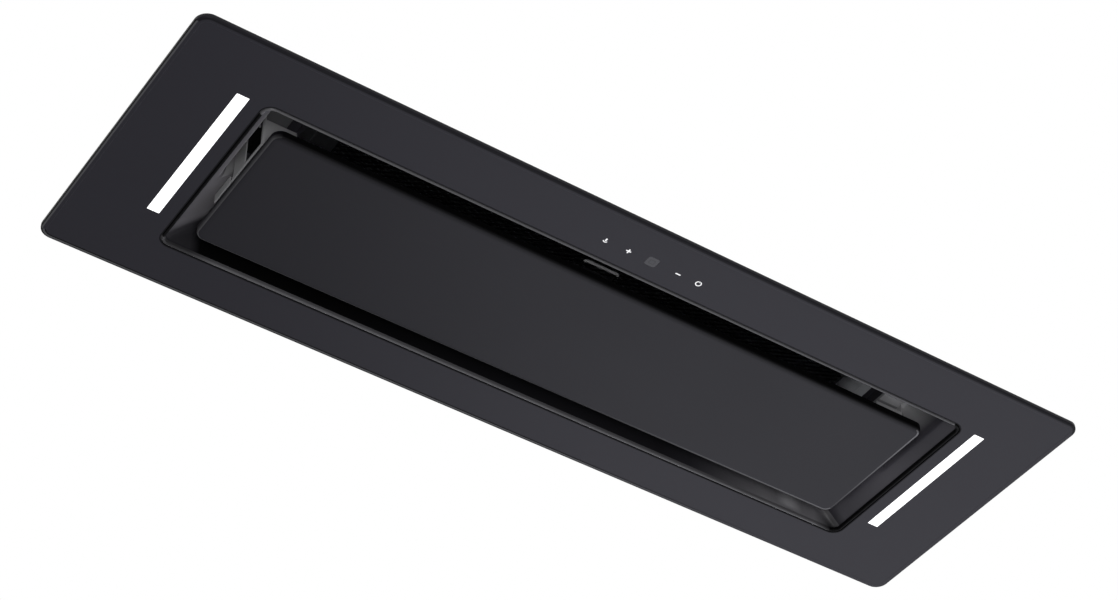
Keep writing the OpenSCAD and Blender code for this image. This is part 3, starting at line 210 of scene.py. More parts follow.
def slope(value, start, end):
    """Rises evenly from 0 at start to 1 at end and stays there."""
    return ((value - start) / (end - start)).high(0).low(1)


def edge_distance(x, y, low, high, r):
    """Distance past the outline of a rounded rectangle: the length of max(q, 0) plus min(max(qx, qy), 0),
    less r, where q is the distance from the middle less the half size, plus r."""
    middle, half = (low + high) / 2, (high - low) / 2
    qx = (x - middle[0]).size() - (half[0] - r)
    qy = (y - middle[1]).size() - (half[1] - r)
    return (qx.high(0) ** 2 + qy.high(0) ** 2) ** 0.5 + qx.high(qy).low(0) - r


# Finishes of the hood

FACE_R = 11.5
PANEL_R = 9.0
WELD_W = 8.0
LIP_R = 9.2
BEAD_GAP = 0.8
FACE_GREY = (0.0168, 0.0160, 0.0224)
PANEL_GREY = (0.0096, 0.0091, 0.0132)


def lip_distance(x, y):
    """Distance past the outer edge of the rolled bead round the recess."""
    low, high = span("recess_tray")
    return edge_distance(x, y, low + WELD_W, high - WELD_W, LIP_R)


# Near-black shader that stands in for shade and shadow wherever a painted shade mask is 1
def painted_shade_black(f, rough, normal):
    return f.shader((0.002, 0.002, 0.0022), rough + 0.15, normal=normal, level=0.08)


def baked_paint(f, colour, roughness):
    """Colour, roughness and normal of baked paint: faint orange peel, slow drifts of gloss, fine specks."""
    peel, drift, speck = f.noise(420, 3, 0.55), f.noise(9), f.noise(2600, 1)
    base = f.blend(drift * 0.7 + speck * 0.3, colour, tuple(c * 1.12 for c in colour))
    rough = roughness + (drift - 0.5) * 0.06 + (peel - 0.5) * 0.05
    return base, rough, f.bump(peel * 0.8 + speck * 0.2, 0.02, 0.35)


def hood_paint(name):
    """Dark satin paint of the face and the suction panel, which is a shade darker. Painted shade makes the
    face's outermost folds, the panel's front fold and a line round the bead black, and light lines of painted
    highlight follow other folds."""
    f = Finish(name)
    x, y, z = f.millimetres()
    face_low, face_high = span("face_plate")
    low, high = span("suction_panel")
    out = edge_distance(x, y, face_low, face_high, FACE_R)
    edge = edge_distance(x, y, low, high, PANEL_R)
    rear = y.above(face_high[1] - 8)
    front = y.less(face_low[1] + 9)
    left = x.less(0) * y.above(face_low[1] + 9) * (1 - rear)
    fade = slope(x, 330, 60)
    on_panel = edge.less(0.4)
    lower = on_panel * z.less(low[2] + 3.4)

    # Painted shade: black outlines on the face's left and rear folds, a dark fade over the panel's front
    # fold, a dark band on the front rim and the shadow gap round the bead
    dark = left * out.above(-0.7) + on_panel * slope(y, low[1] + 6.5, low[1])
    dark = dark + rear * (between(out, -4.6, -3.4) + out.above(-1.7)) * fade
    dark = dark + front * (out.above(-2) * 0.5 + between(out, -3, -1.6) * 0.5)
    dark = dark + between(lip_distance(x, y), 0, BEAD_GAP + 1.1) * 0.8
    # Painted highlights: light lines inside the face's left and rear edges and along the panel's left and
    # rear edges
    line = left * between(out, -2.1, -0.7) + rear * between(out, -3.4, -1.7) * fade
    line = line + lower * edge.above(-1.5) * x.less(low[0] + 6) * 0.8
    line = line + lower * edge.above(-1.8) * y.above(high[1] - 6) * 0.5
    # Painted highlight: a bright line along the panel's right edge, fading to the rear, and along its rear
    # edge
    painted_highlight = x.above(high[0] - 7) * slope(y, 95, -60) + y.above(high[1] - 7) * slope(x, 40, 300) * 0.7
    painted_highlight = lower * between(edge, -3, -1.6) * painted_highlight.low(1)

    base, rough, normal = baked_paint(f, FACE_GREY, 0.36)
    base = f.blend(on_panel, base, PANEL_GREY)
    # Colours of the painted highlight lines
    base = f.blend(line.low(1), base, (0.075, 0.075, 0.080))
    base = f.blend(painted_highlight, base, (0.20, 0.20, 0.21))
    paint = f.shader(base, rough, normal=normal, level=0.20, Sheen_Weight=0.05, Sheen_Roughness=0.3)
    # The painted shade mixes in the near-black shader
    return f.layered(dark.low(1), paint, painted_shade_black(f, rough, normal))


def tray_lacquer(name):
    """Lacquer with a soft sheen. Its marks are painted light, in order: a lighter left slope, a lighter
    middle of the right slope, a pale painted highlight on a step of the end slopes, a lit patch on the ledge,
    a highlight line on the bead, the lit right end of the rear wall with a pale painted reflection patch, and
    the lit right front pocket.
    Painted shade makes the rest of the rear wall, the rear corners, the bead's ends and the inner half of the
    bead along the front black."""
    f = Finish(name)
    x, y, z = f.millimetres()
    side = x.size()
    peel, drift = f.noise(420, 3, 0.55), f.noise(9)
    wall = y.above(86) * z.above(-0.9)
    ledge = side.above(296) * y.less(-14) * between(z, 46, 48)
    # Painted light: each mark lifts the lacquer's colour where light falls, with painted highlights on the
    # end slopes' step, the bead and the rear wall's pale patch
    marks = (
        (x.less(-300) * z.above(0.5), (0.070, 0.068, 0.078)),
        (x.above(328) * z.above(-0.5) * slope(y, -45, 5) * slope(y, 66, 16), (0.074, 0.071, 0.084)),
        (between(side, 312, 329) * between(y, 7, 19) * z.above(8) * slope(z, 46, 10), (0.34, 0.34, 0.345)),
        (ledge, f.blend(x.above(0), (0.17, 0.17, 0.18), (0.30, 0.30, 0.31))),
        (z.less(-0.9), (0.090, 0.089, 0.095)),
        (wall * slope(x, 180, 262), (0.17, 0.167, 0.18)),
        (wall * slope(x, 276, 287) * slope(x, 304, 293) * slope(z, 0, 4), (0.33, 0.326, 0.345)),
        (x.above(300) * y.less(-30) * slope(z, 14, 47), (0.60, 0.60, 0.61)))
    base = f.blend(drift, (0.044, 0.042, 0.052), (0.050, 0.048, 0.058))
    for mask, colour in marks:
        base = f.blend(mask, base, colour)

    # Painted shade: the bead's inner front half, its ends, the rear corners and the shadowed rear wall go
    # black
    inner = lip_distance(x, y).less(-1.7) * y.less(-60) * (1 - side.above(335))
    bead_end_shade = side.above(335) * x.above(0).high(between(y, -74, 87))
    corner = slope(x, -292, -318) * slope(y, 74, 102) * 0.95
    corner = corner + slope(x, 318, 336) * slope(y, 76, 92) * 0.9
    shadow = slope(x, 260, 150) * (1 - slope(x, -200, 150) * 0.25) * slope(x, -332, -308)
    dark = (z.less(-0.9) * inner.high(bead_end_shade)).high(corner).high(wall * shadow)

    rough, normal = 0.30 + (drift - 0.5) * 0.06, f.bump(peel, 0.02, 0.35)
    lacquer = f.shader(base, rough, normal=normal, level=0.4, Sheen_Weight=0.6, Sheen_Roughness=0.3,
                       Sheen_Tint=(0.97, 0.94, 1.0))
    return f.layered(dark, lacquer, painted_shade_black(f, rough, normal))


def grey_primer(name):
    """Primer of the catch brackets and the handle. Painted shade makes the brackets' inner faces and the
    handle's legs black, the right bracket is paler as painted light, and the handle's bar is paler."""
    f = Finish(name)
    x, y, _ = f.millimetres()
    side = x.size()
    low, high = span("catch_bracket_right")
    handle, right = side.less(30), x.above(280)
    legs = handle * y.above(span("handle_bail")[0][1] + 2.8)
    # Painted shade: the brackets' inner faces and the handle's legs go black
    inner = side.above(280) * side.less(high[0] - 1.3) * y.above(low[1] + 2.5)
    base, rough, normal = baked_paint(f, (0.38, 0.38, 0.39), 0.42)
    base = f.blend(handle, base, (0.52, 0.52, 0.53))
    # Painted light: the right bracket is paler
    base = f.blend(right, base, (0.62, 0.62, 0.63))
    base = f.blend(inner + legs, base, (0.002, 0.002, 0.002))
    return f.surface(base, rough, normal=normal, Sheen_Weight=0.2, Sheen_Roughness=0.3)


def ramp(f, value, *stops):
    """Colours given as (place, colour), evenly blended between their places."""
    node = f.tree.nodes.new("ShaderNodeValToRGB")
    while len(node.color_ramp.elements) < len(stops):
        node.color_ramp.elements.new(0.5)
    for element, (at, colour) in zip(node.color_ramp.elements, stops):
        element.position, element.color = at, (*colour, 1.0)
    connect(f.tree, node.inputs["Fac"], value)
    return Value(f.tree, node.outputs[0])


def zinc_sheet(name):
    """Galvanised sheet: spangles of slightly different greys with soft borders, and faint rolling lines."""
    f = Finish(name)
    warp = f.noise(30, out="Color")
    where = f.add("ShaderNodeVectorMath", {"operation": "MULTIPLY_ADD"},
                  {0: warp, 1: (0.006, 0.006, 0.006), 2: f.place()})
    spangle = f.add("ShaderNodeTexVoronoi", {"feature": "F1"}, {"Vector": where, "Scale": 130}, "Color")
    grain = f.axes(spangle)[0]
    rolled = f.noise(60, 3, 0.6, f.stretch(1, 22, 22))
    greys = (0.1, (0.44, 0.46, 0.48)), (0.5, (0.52, 0.54, 0.56)), (0.9, (0.60, 0.62, 0.64))
    return f.surface(ramp(f, grain * 0.5 + rolled * 0.5, *greys), 0.38 + grain * 0.08 + rolled * 0.06, 1.0,
                     f.bump(grain * 0.4 + rolled * 0.6, 0.03, 0.25))


def bright_steel(name):
    """Zinc plated steel with a fine brushed grain."""
    f = Finish(name)
    brushed = f.noise(90, 4, 0.7, f.stretch(1, 30, 30))
    greys = (0.2, (0.44, 0.45, 0.47)), (0.8, (0.62, 0.63, 0.65))
    return f.surface(ramp(f, brushed * 0.5 + f.noise(40) * 0.5, *greys), 0.24 + brushed * 0.16, 1.0,
                     f.bump(brushed, 0.02, 0.3))


def rolled_aluminium(name, low, high, roughness, rail=0.0):
    """Mill finish aluminium: long rolling lines and a soft haze. rail is the strength of a painted glint on
    the filter rail's right front end, where the metal turns pale and less metallic."""
    f = Finish(name)
    x, y, z = f.millimetres()
    # Painted glint: less metal, so a pale patch, on the rail's right front end
    painted_glint = slope(x, 256, 282) * y.less(-20) * between(z, 47, 49) * rail
    lines = f.noise(140, 4, 0.65, f.stretch(0.6, 16, 16))
    return f.surface(f.blend(lines * 0.6 + f.noise(18) * 0.4, low, high), roughness + lines * 0.14,
                     1 - painted_glint, f.bump(lines, 0.015, 0.3))


def moulded_plastic(name, colour, roughness=0.5):
    """Moulded plastic with a fine spark-eroded grain."""
    f = Finish(name)
    grain = f.noise(1500, 3, 0.6)
    light = tuple(min(1.0, c * 1.18 + 0.004) for c in colour)
    return f.surface(f.blend(f.noise(14) * 0.6 + grain * 0.4, colour, light),
                     roughness + (grain - 0.5) * 0.16, normal=f.bump(grain, 0.04, 0.5), level=0.4)


def soft_rubber(name):
    f = Finish(name)
    grain = f.noise(900)
    return f.surface(f.blend(grain, (0.018, 0.018, 0.019), (0.034, 0.034, 0.036)), 0.72 + grain * 0.12,
                     normal=f.bump(grain, 0.05, 0.4), level=0.3)


def lit_diffuser(name):
    """Opal plastic, evenly lit."""
    f = Finish(name)
    grain = f.noise(1200, 1)
    return f.surface(f.blend(grain, (0.9, 0.9, 0.9), (0.97, 0.97, 0.97)), 0.35 + grain * 0.1,
                     normal=f.bump(grain, 0.01, 0.2), Emission_Strength=1.1,
                     Emission_Color=f.blend(grain, (0.985, 0.99, 1.0), (1.0, 1.0, 1.0)))


def white_print(name):
    """White ink, lit from behind."""
    f = Finish(name)
    grain = f.noise(3000)
    return f.surface(f.blend(grain, (0.78, 0.78, 0.79), (0.9, 0.9, 0.9)), 0.5,
                     normal=f.bump(grain, 0.01, 0.3), Emission_Strength=0.55,
                     Emission_Color=f.blend(grain, (0.8, 0.8, 0.82), (0.95, 0.95, 0.95)))


def tinted_window(name):
    """Smooth dark window over an unlit display, with the faint outline of its figure field. A faint painted
    glow lifts its tone.
    """
    f = Finish(name)
    low, high = span("display_window")
    x, y, _ = f.millimetres()
    field = between(edge_distance(x, y, low + 2.6, high - 2.6, 1.2), -0.9, 0)
    haze = f.noise(700)
    glass = f.blend(haze, (0.020, 0.020, 0.024), (0.028, 0.028, 0.032))
    # Painted glow: a faint emission lifts the window's tone, weaker over the figure field's outline
    return f.surface(f.blend(field, glass, (0.012, 0.012, 0.014)), 0.20 + haze * 0.06,
                     normal=f.bump(haze, 0.005, 0.2), level=0.3, Emission_Strength=0.5,
                     Emission_Color=f.blend(field, (0.034, 0.034, 0.038), (0.024, 0.024, 0.027)))


def solder_mask(name):
    """Green board with darker tracks in straight runs."""
    f = Finish(name)
    x, y, _ = f.axes()
    tracks = ((x * 900).wave() * (y * 700).wave()).above(0.25)
    mottle = f.noise(300)
    return f.surface(f.blend(tracks * 0.6 + mottle * 0.4, (0.012, 0.11, 0.045), (0.03, 0.2, 0.085)),
                     0.3 + mottle * 0.1, normal=f.bump(tracks, 0.03, 0.4))


RECIPES = {
    "charcoal_paint": (hood_paint,),
    "zinc_steel": (zinc_sheet,),
    "bright_steel": (bright_steel,),
    "aluminium": (rolled_aluminium, (0.50, 0.51, 0.53), (0.72, 0.73, 0.75), 0.26, 0.9),
    "tray_lacquer": (tray_lacquer,),
    "grey_steel": (grey_primer,),
    "filter_mesh": (rolled_aluminium, (0.006, 0.006, 0.007), (0.020, 0.020, 0.022), 0.5),
    "black_plastic": (moulded_plastic, (0.016, 0.016, 0.018)),
    "grey_plastic": (moulded_plastic, (0.13, 0.135, 0.145)),
    "white_plastic": (moulded_plastic, (0.68, 0.68, 0.66), 0.42),
    "rubber": (soft_rubber,),
    "light_diffuser": (lit_diffuser,),
    "circuit_board": (solder_mask,),
    "white_print": (white_print,),
    "display_glass": (tinted_window,),
}
FINISHES = {name: make(name, *values) for name, (make, *values) in RECIPES.items()}
BODY_OF = {node: body for body, nodes in frame["record"]["behaviour"]["bodies"].items() for node in nodes}
SLOT_OF = {row["node"]: row["material_slot"] for row in frame["record"]["subparts"]}


def dress_nodes():
    """Gives each CAD node the finish of its record slot."""
    for node, slot in SLOT_OF.items():
        mesh = frame["nodes"][node].data
        mesh.materials.clear()
        mesh.materials.append(FINISHES[slot])


dress_nodes()


# Geometry, worked out in millimetres

SMOOTH_BELOW = math.radians(40)


def skin(grid, closed=False):
    """Shell over a grid of points (u, v, 3). v always closes on itself, u closes too or ends in flat caps."""
    rows, cols, _ = grid.shape
    index = np.arange(rows * cols).reshape(rows, cols)
    index = np.hstack([index, index[:, :1]])
    if closed:
        index = np.vstack([index, index[:1]])
    quads = np.stack([index[:-1, :-1], index[:-1, 1:], index[1:, 1:], index[1:, :-1]], -1)
    faces = quads.reshape(-1, 4).tolist()
    if not closed:
        faces += [index[0, :cols][::-1].tolist(), index[-1, :cols].tolist()]
    return grid.reshape(-1, 3), faces


def volume(points, faces):
    """Signed volume of a shell: a sixth of the sum of a . (b x c) over its triangles."""
    corners = np.array([(f[0], f[i], f[i + 1]) for f in faces for i in range(1, len(f) - 1)])
    a, b, c = points[corners[:, 0]], points[corners[:, 1]], points[corners[:, 2]]
    return np.einsum("ij,ij->i", a, np.cross(b, c)).sum() / 6


def piece(name, shells, node, slot=None):
    """Joins closed shells into one mesh that takes the place, body and slot of a CAD node. With a slot of its
    own it is an extra beside the node's other pieces and takes nothing's place."""
    points, faces, start = [], [], 0
    for shell_points, shell_faces in shells:
        if volume(shell_points, shell_faces) < 0:
            shell_faces = [face[::-1] for face in shell_faces]
        points.append(shell_points)
        faces += [[corner + start for corner in face] for face in shell_faces]
        start += len(shell_points)
    mesh = bpy.data.meshes.new(name)
    mesh.from_pydata((np.vstack(points) * MM).tolist(), [], faces)
    mesh.update()
    mesh.shade_smooth()
    mesh.set_sharp_from_angle(angle=SMOOTH_BELOW)
    mesh.materials.append(FINISHES[slot or SLOT_OF[node]])
    made = bpy.data.objects.new(name, mesh)
    bpy.context.scene.collection.objects.link(made)
    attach(made, BODY_OF[node])
    slot or SLOT_OF[node]
    if not slot:
        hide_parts(node)


def mirrored(shells):
    """Shells turned over to the other side of the hood's middle."""
    return [(points * (-1, 1, 1), faces) for points, faces in shells]


def both(shells):
    return shells + mirrored(shells)


def loop(x0, x1, y0, y1, z, r=1.0, steps=8, runs=(1, 1)):
    """Rectangle with round corners at a height, counter-clockwise from the front right corner's arc."""
    turn = np.linspace(0, np.pi / 2, steps + 1)
    corners = [(x1 - r, y0 + r), (x1 - r, y1 - r), (x0 + r, y1 - r), (x0 + r, y0 + r)]
    arcs = []
    for i, (cx, cy) in enumerate(corners):
        a = turn + (i - 1) * np.pi / 2
        arcs.append(np.stack([cx + r * np.cos(a), cy + r * np.sin(a)], -1))
    parts = []
    for i, arc in enumerate(arcs):
        t = np.linspace(0, 1, runs[1 - i % 2] + 1)[1:-1, None]
        parts += [arc, arc[-1] * (1 - t) + arcs[(i + 1) % 4][0] * t]
    flat = np.vstack(parts)
    return np.column_stack([flat, np.full(len(flat), float(z))])


def inset_loop(low, high, inset, z, r, steps=8, runs=(1, 1)):
    """Loop that lies an inset inside the outline of a box."""
    return loop(low[0] + inset, high[0] - inset, low[1] + inset, high[1] - inset, z, r, steps, runs)


def outline(x0, x1, y0, y1, r, steps=3):
    """The same rectangle as flat points (k, 2)."""
    return loop(x0, x1, y0, y1, 0, r, steps)[:, :2]


def folded(loops, radii, steps=4, closed=False):
    """Stack of loops with round folds. A loop P with a radius gives way to the curve
    (1-t)^2 A + 2t(1-t) P + t^2 C, where A and C lie one radius before and after it."""
    stack, count = [], len(loops)
    for i, (here, radius) in enumerate(zip(loops, radii)):
        if radius == 0 or (not closed and i in (0, count - 1)):
            stack.append(here)
            continue
        ends = []
        for other in (loops[i - 1], loops[(i + 1) % count]):
            way = other - here
            length = np.maximum(np.linalg.norm(way, axis=1, keepdims=True), 1e-6)
            ends.append(here + way * np.minimum(radius / length, 0.48))
        for t in np.linspace(0, 1, steps + 1):
            stack.append((1 - t) ** 2 * ends[0] + 2 * t * (1 - t) * here + t * t * ends[1])
    return np.array(stack)


def folded_skin(loops, radii, steps=4, closed=True):
    return skin(folded(loops, radii, steps, closed), closed)


def pan(low, high, r, rows, steps, runs, fold_steps=4, closed=False, least=0):
    """Folded sheet round a box. Each row is (inset, height, fold radius), and a loop's corner radius is r
    less its inset, but no less than the least."""
    loops = [inset_loop(low, high, inset, z, max(r - inset, least), steps, runs) for inset, z, _ in rows]
    return folded_skin(loops, [fold for *_, fold in rows], fold_steps, closed)


def block(low, high, r=1.0, edge=0.5, steps=4, axis=2):
    """Closed box with round corners of radius r seen along an axis and round edges at both ends of it."""
    order = [(axis + 1) % 3, (axis + 2) % 3, axis]
    low, high = np.array(low)[order], np.array(high)[order]
    inset = min(edge * 2.2, *(high - low)[:2] / 2.2)
    rows = [(inset, low[2], max(r - inset, 0.05), 0), (0, low[2], r, edge), (0, high[2], r, edge),
            (inset, high[2], max(r - inset, 0.05), 0)]
    loops = [inset_loop(low, high, inwards, z, corner, steps) for inwards, z, corner, _ in rows]
    flat, faces = folded_skin(loops, [fold for *_, fold in rows], closed=False)
    points = np.empty_like(flat)
    points[:, order] = flat
    return points, faces


def bends(points, radius, steps=6):
    """Line through points with its inner corners rounded by the same curve as the folds."""
    rows = [np.array(p, float)[None, :] for p in points]
    return folded(rows, [0] + [radius] * (len(rows) - 2) + [0], steps)[:, 0, :]


def tangents(path):
    """Unit tangent at each point of a path."""
    way = np.gradient(path, axis=0)
    return way / np.linalg.norm(way, axis=1, keepdims=True)


def carry(path, profile, side):
    """Profile (k, 2) carried along a path in one plane: its first value goes along the plane's normal,
    given as side, and its second along the path's own normal, side x tangent."""
    side = np.array(side, float)
    normal = np.cross(side, tangents(path))
    return skin(path[:, None, :] + profile[None, :, :1] * side + profile[None, :, 1:] * normal[:, None, :])


def circle(r, sides=16):
    """Points of a circle as (k, 2)."""
    a = np.arange(sides) * 2 * np.pi / sides
    return np.column_stack([r * np.cos(a), r * np.sin(a)])


def half_circle(y, z, r, steps):
    """Lower half of a circle, from its -Y end to its +Y end."""
    a = np.radians(np.linspace(180, 360, steps))
    return np.column_stack([y + r * np.cos(a), z + r * np.sin(a)])


def turned(profile, at, axis, sides=32, star=None, closed=False):
    """Profile of (radius, height) turned round an axis through a point. star is the first row that a function
    of the angle stretches, with the function. A closed profile makes a ring."""
    axis = np.array(axis, float)
    aside = np.array([0, 0, 1.0]) if abs(axis[2]) < 0.9 else np.array([1.0, 0, 0])
    u = np.cross(aside, axis)
    u /= np.linalg.norm(u)
    v = np.cross(axis, u)
    a = np.arange(sides) * 2 * np.pi / sides
    ring = np.cos(a)[:, None] * u + np.sin(a)[:, None] * v
    profile = np.array(profile, float)
    radii = np.repeat(profile[:, :1], sides, axis=1)
    if star is not None:
        first, shape = star
        radii[first:] *= shape(a)
    grid = np.array(at, float) + radii[..., None] * ring + profile[:, 1, None, None] * axis
    return skin(grid, closed=closed)


def cross_recess(a):
    """Outline of a cross recess: 1 along its four arms and 0.36 between them."""
    return 0.36 + 0.64 * np.clip(1.6 - 4.2 * np.abs(np.sin(2 * a) * 0.5), 0, 1)


def screws(places, axis, r, h, under, shank_r):
    """Pan heads with a cross recess standing on some points; under is the length of the shank below."""
    rim = [(shank_r, -under), (shank_r, 0), (r * 0.96, 0), (r, h * 0.12), (r, h * 0.45), (r * 0.93, h * 0.72),
           (r * 0.74, h * 0.94), (r * 0.62, h)]
    recess = [(r * 0.56, h), (r * 0.50, h * 0.9), (r * 0.36, h * 0.35), (r * 0.1, h * 0.3)]
    return [turned(rim + recess, at, axis, 40, (len(rim), cross_recess)) for at in places]


def sheet(grid, lift, keep=None):
    """Closed sheet over a grid of points (rows, cols, 3): a second layer at grid + lift, and walls round each
    edge and hole. keep says for each cell whether it is there."""
    rows, cols, _ = grid.shape
    if keep is None:
        keep = np.ones((rows - 1, cols - 1), bool)
    index = np.arange(rows * cols).reshape(rows, cols)
    a, b, c, d = index[:-1, :-1], index[:-1, 1:], index[1:, 1:], index[1:, :-1]
    under = rows * cols
    quads = [np.stack([a, b, c, d], -1)[keep], np.stack([d, c, b, a], -1)[keep] + under]
    padded = np.pad(keep, 1)
    sides = [(padded[:-2, 1:-1], a, b), (padded[2:, 1:-1], c, d), (padded[1:-1, :-2], d, a),
             (padded[1:-1, 2:], b, c)]
    for neighbour, first, second in sides:
        edge = keep & ~neighbour
        p, q = first[edge], second[edge]
        quads.append(np.stack([q, p, p + under, q + under], -1))
    used, faces = np.unique(np.vstack(quads), return_inverse=True)
    points = np.vstack([grid.reshape(-1, 3), (grid + lift).reshape(-1, 3)])[used]
    return points, faces.reshape(-1, 4).tolist()


def plate(rim, holes, low, high, axis=2):
    """Flat sheet between two levels of an axis, with holes. Outlines are (k, 2) in the next two axes; both
    faces are filled with triangles and each outline gets its wall."""
    def area(ring):
        ahead = np.roll(ring, -1, axis=0)
        return (ring[:, 0] * ahead[:, 1] - ahead[:, 0] * ring[:, 1]).sum() / 2

    rings = [rim if area(rim) > 0 else rim[::-1]]
    rings += [hole[::-1] if area(hole) > 0 else hole for hole in holes]
    flat = np.vstack(rings)
    count = len(flat)
    fill = np.array(tessellate_polygon([[Vector((*point, 0)) for point in ring] for ring in rings]))
    a, b, c = flat[fill[:, 0]], flat[fill[:, 1]], flat[fill[:, 2]]
    turned_over = (b[:, 0] - a[:, 0]) * (c[:, 1] - a[:, 1]) < (b[:, 1] - a[:, 1]) * (c[:, 0] - a[:, 0])
    fill[turned_over] = fill[turned_over][:, ::-1]
    faces = (fill + count).tolist() + fill[:, ::-1].tolist()
    start = 0
    for ring in rings:
        here = np.arange(len(ring)) + start
        ahead = np.roll(here, -1)
        faces += np.stack([here, ahead, ahead + count, here + count], -1).tolist()
        start += len(ring)
    levels = np.vstack([np.column_stack([flat, np.full(count, float(z))]) for z in (low, high)])
    points = np.empty_like(levels)
    points[:, [(axis + 1) % 3, (axis + 2) % 3, axis]] = levels
    return points, faces


def tube(start, end, r_out, r_in, sides=28, edge=0.3):
    """Straight tube with eased rims, from one point to another."""
    start, end = np.array(start, float), np.array(end, float)
    length = np.linalg.norm(end - start)
    profile = [(r_in, edge), (r_in + edge, 0), (r_out - edge, 0), (r_out, edge), (r_out, length - edge),
               (r_out - edge, length), (r_in + edge, length), (r_in, length - edge)]
    return turned(profile, start, (end - start) / length, sides, closed=True)


def rod(at, half, r, dome):
    """Round bar along X with domed ends."""
    profile = [(0.1, -half), (r - dome, -half), (r, 0.5 - half), (r, half - 0.5), (r - dome, half),
               (0.1, half)]
    return turned(profile, at, (1, 0, 0), 24)


def smooth_step(t):
    """0 below 0, 1 above 1, and t^2 (3 - 2t) between."""
    t = np.clip(t, 0, 1)
    return t * t * (3 - 2 * t)


# Recess tray

TRAY_T = 1.0
WELD_Z = -2.8
BEAD_W = 2.6
LIP_UP = 3.9
FUNNEL_R = 12.0
FUNNEL_FRONT_RUN = 4.0
POCKET_Z = 8.4
POCKET_LOW_IN = 8.1
POCKET_TOP_IN = 16.6
POCKET_REAR = 17.0
POCKET_BLEND = 9.0
FILTER_END_GAP = 13.0
FILTER_GAP = 1.7
FILTER_TAB = 4.0
FILTER_SIDE = 12.0
SEAT_W = 17.5
TRAY_RUNS = (30, 84)

tray_low, tray_high = span("recess_tray")
filter_low, filter_high = span("filter_frame")
lip_x, lip_y0, lip_y1 = tray_high[0] - WELD_W, tray_low[1] + WELD_W, tray_high[1] - WELD_W
lip_z = tray_low[2] + LIP_UP
mouth_x, mouth_y0, mouth_y1 = lip_x - BEAD_W, lip_y0 + BEAD_W, lip_y1 - BEAD_W
ledge_z = span("plenum_floor")[0][2] - TRAY_T
collar_x = filter_high[0] + FILTER_END_GAP
collar_y0, collar_y1 = filter_low[1] - FILTER_GAP, filter_high[1] - FILTER_TAB + FILTER_GAP
collar_z = tray_high[2] - TRAY_T


def tray_loop(x, y0, y1, z, r):
    return loop(-x, x, y0, y1, z, r, 8, TRAY_RUNS)


def lip_loop(out, z):
    """Loop that lies a distance outside the lip's outer edge."""
    return tray_loop(lip_x + out, lip_y0 - out, lip_y1 + out, z, max(LIP_R + out, 0.6))


def funnel_loop(z, grow=0.0):
    """Loop round the funnel at a height. Half length, depth and corner radius fall evenly from the mouth to
    the ledge. In front of the pocket's rear end the end walls move out to the pocket's own, steeper slope."""
    t = (z - lip_z) / (ledge_z - lip_z)
    x = mouth_x + (collar_x - mouth_x) * t + grow
    r = LIP_R - BEAD_W + (FUNNEL_R - LIP_R + BEAD_W) * t + grow
    made = tray_loop(x, mouth_y0 + FUNNEL_FRONT_RUN * t - grow, mouth_y1 + grow, z, r)
    rise = max(0.0, (z - POCKET_Z) / (ledge_z - POCKET_Z))
    pocket_x = mouth_x - POCKET_LOW_IN + (POCKET_LOW_IN - POCKET_TOP_IN) * rise + grow
    push = max(0.0, pocket_x - x) * smooth_step((POCKET_REAR - made[:, 1]) / POCKET_BLEND)
    outer = np.abs(made[:, 0]) > x - r - 0.01
    made[:, 0] += np.sign(made[:, 0]) * push * outer
    return made


def recess_tray():
    """One sheet: welding flange, rolled bead, lip, funnel with a pocket at each front corner, ledge, filter
    collar and seat. Its inner side runs up from the bead and its outer side comes back down."""
    bead_r = BEAD_W / 2
    stack = [(lip_loop(WELD_W, WELD_Z), 0), (lip_loop(0.02, WELD_Z), 0)]
    for a in np.radians(np.arange(0, 181, 15)):
        stack.append((lip_loop(bead_r * (math.cos(a) - 1), tray_low[2] + bead_r * (1 - math.sin(a))), 0))
    stack.append((lip_loop(-BEAD_W, lip_z), 1.6))
    heights = [*np.linspace(lip_z + 2.2, POCKET_Z - 2, 3), POCKET_Z,
               *np.linspace(POCKET_Z + 2.5, ledge_z - 4, 14)]
    stack += [(funnel_loop(z), 1.2 if z == POCKET_Z else 0) for z in heights]
    collar = (collar_x - 0.1, collar_y0, collar_y1)
    seat = (collar_x - SEAT_W, collar_y0 + FILTER_SIDE, collar_y1 - FILTER_SIDE)
    outer = (collar_x + TRAY_T, collar_y0 - TRAY_T, collar_y1 + TRAY_T)
    stack += [(funnel_loop(ledge_z), 2.2),
              (tray_loop(*collar, ledge_z, 2.0), 1.0), (tray_loop(*collar, collar_z, 2.0), 0.8),
              (tray_loop(*seat, collar_z, 3.0), 0), (tray_loop(*seat, collar_z + TRAY_T, 3.0), 0),
              (tray_loop(*outer, collar_z + TRAY_T, 3.0), 1.4),
              (tray_loop(*outer, ledge_z + TRAY_T, 3.0), 0.4),
              (funnel_loop(ledge_z, TRAY_T) + (0, 0, TRAY_T), 1.5)]
    stack += [(funnel_loop(z, TRAY_T), 0) for z in np.linspace(ledge_z - 4, lip_z + 3, 12)]
    stack += [(lip_loop(-0.6, lip_z), 0.5), (lip_loop(-0.02, WELD_Z + TRAY_T), 0.3),
              (lip_loop(WELD_W, WELD_Z + TRAY_T), 0)]
    loops, radii = zip(*stack)
    return [folded_skin(loops, radii)]


# Suction panel

PANEL_T = 1.2
PANEL_EDGE_R = 2.6


def suction_panel():
    """Folded pan, open above: flat face, round lower edge and upright sides, and the same again inside."""
    low, high = span("suction_panel")
    z0, z1, t = low[2], high[2], PANEL_T
    rows = [(30, z0, 0), (6, z0, 0), (0, z0, PANEL_EDGE_R), (0, z1, 0.25), (t, z1, 0.25), (t, z0 + t, 0.7),
            (6, z0 + t, 0), (30, z0 + t, 0)]
    return [pan(low, high, PANEL_R, rows, 12, (20, 8), 6, least=1)]


# Catch brackets

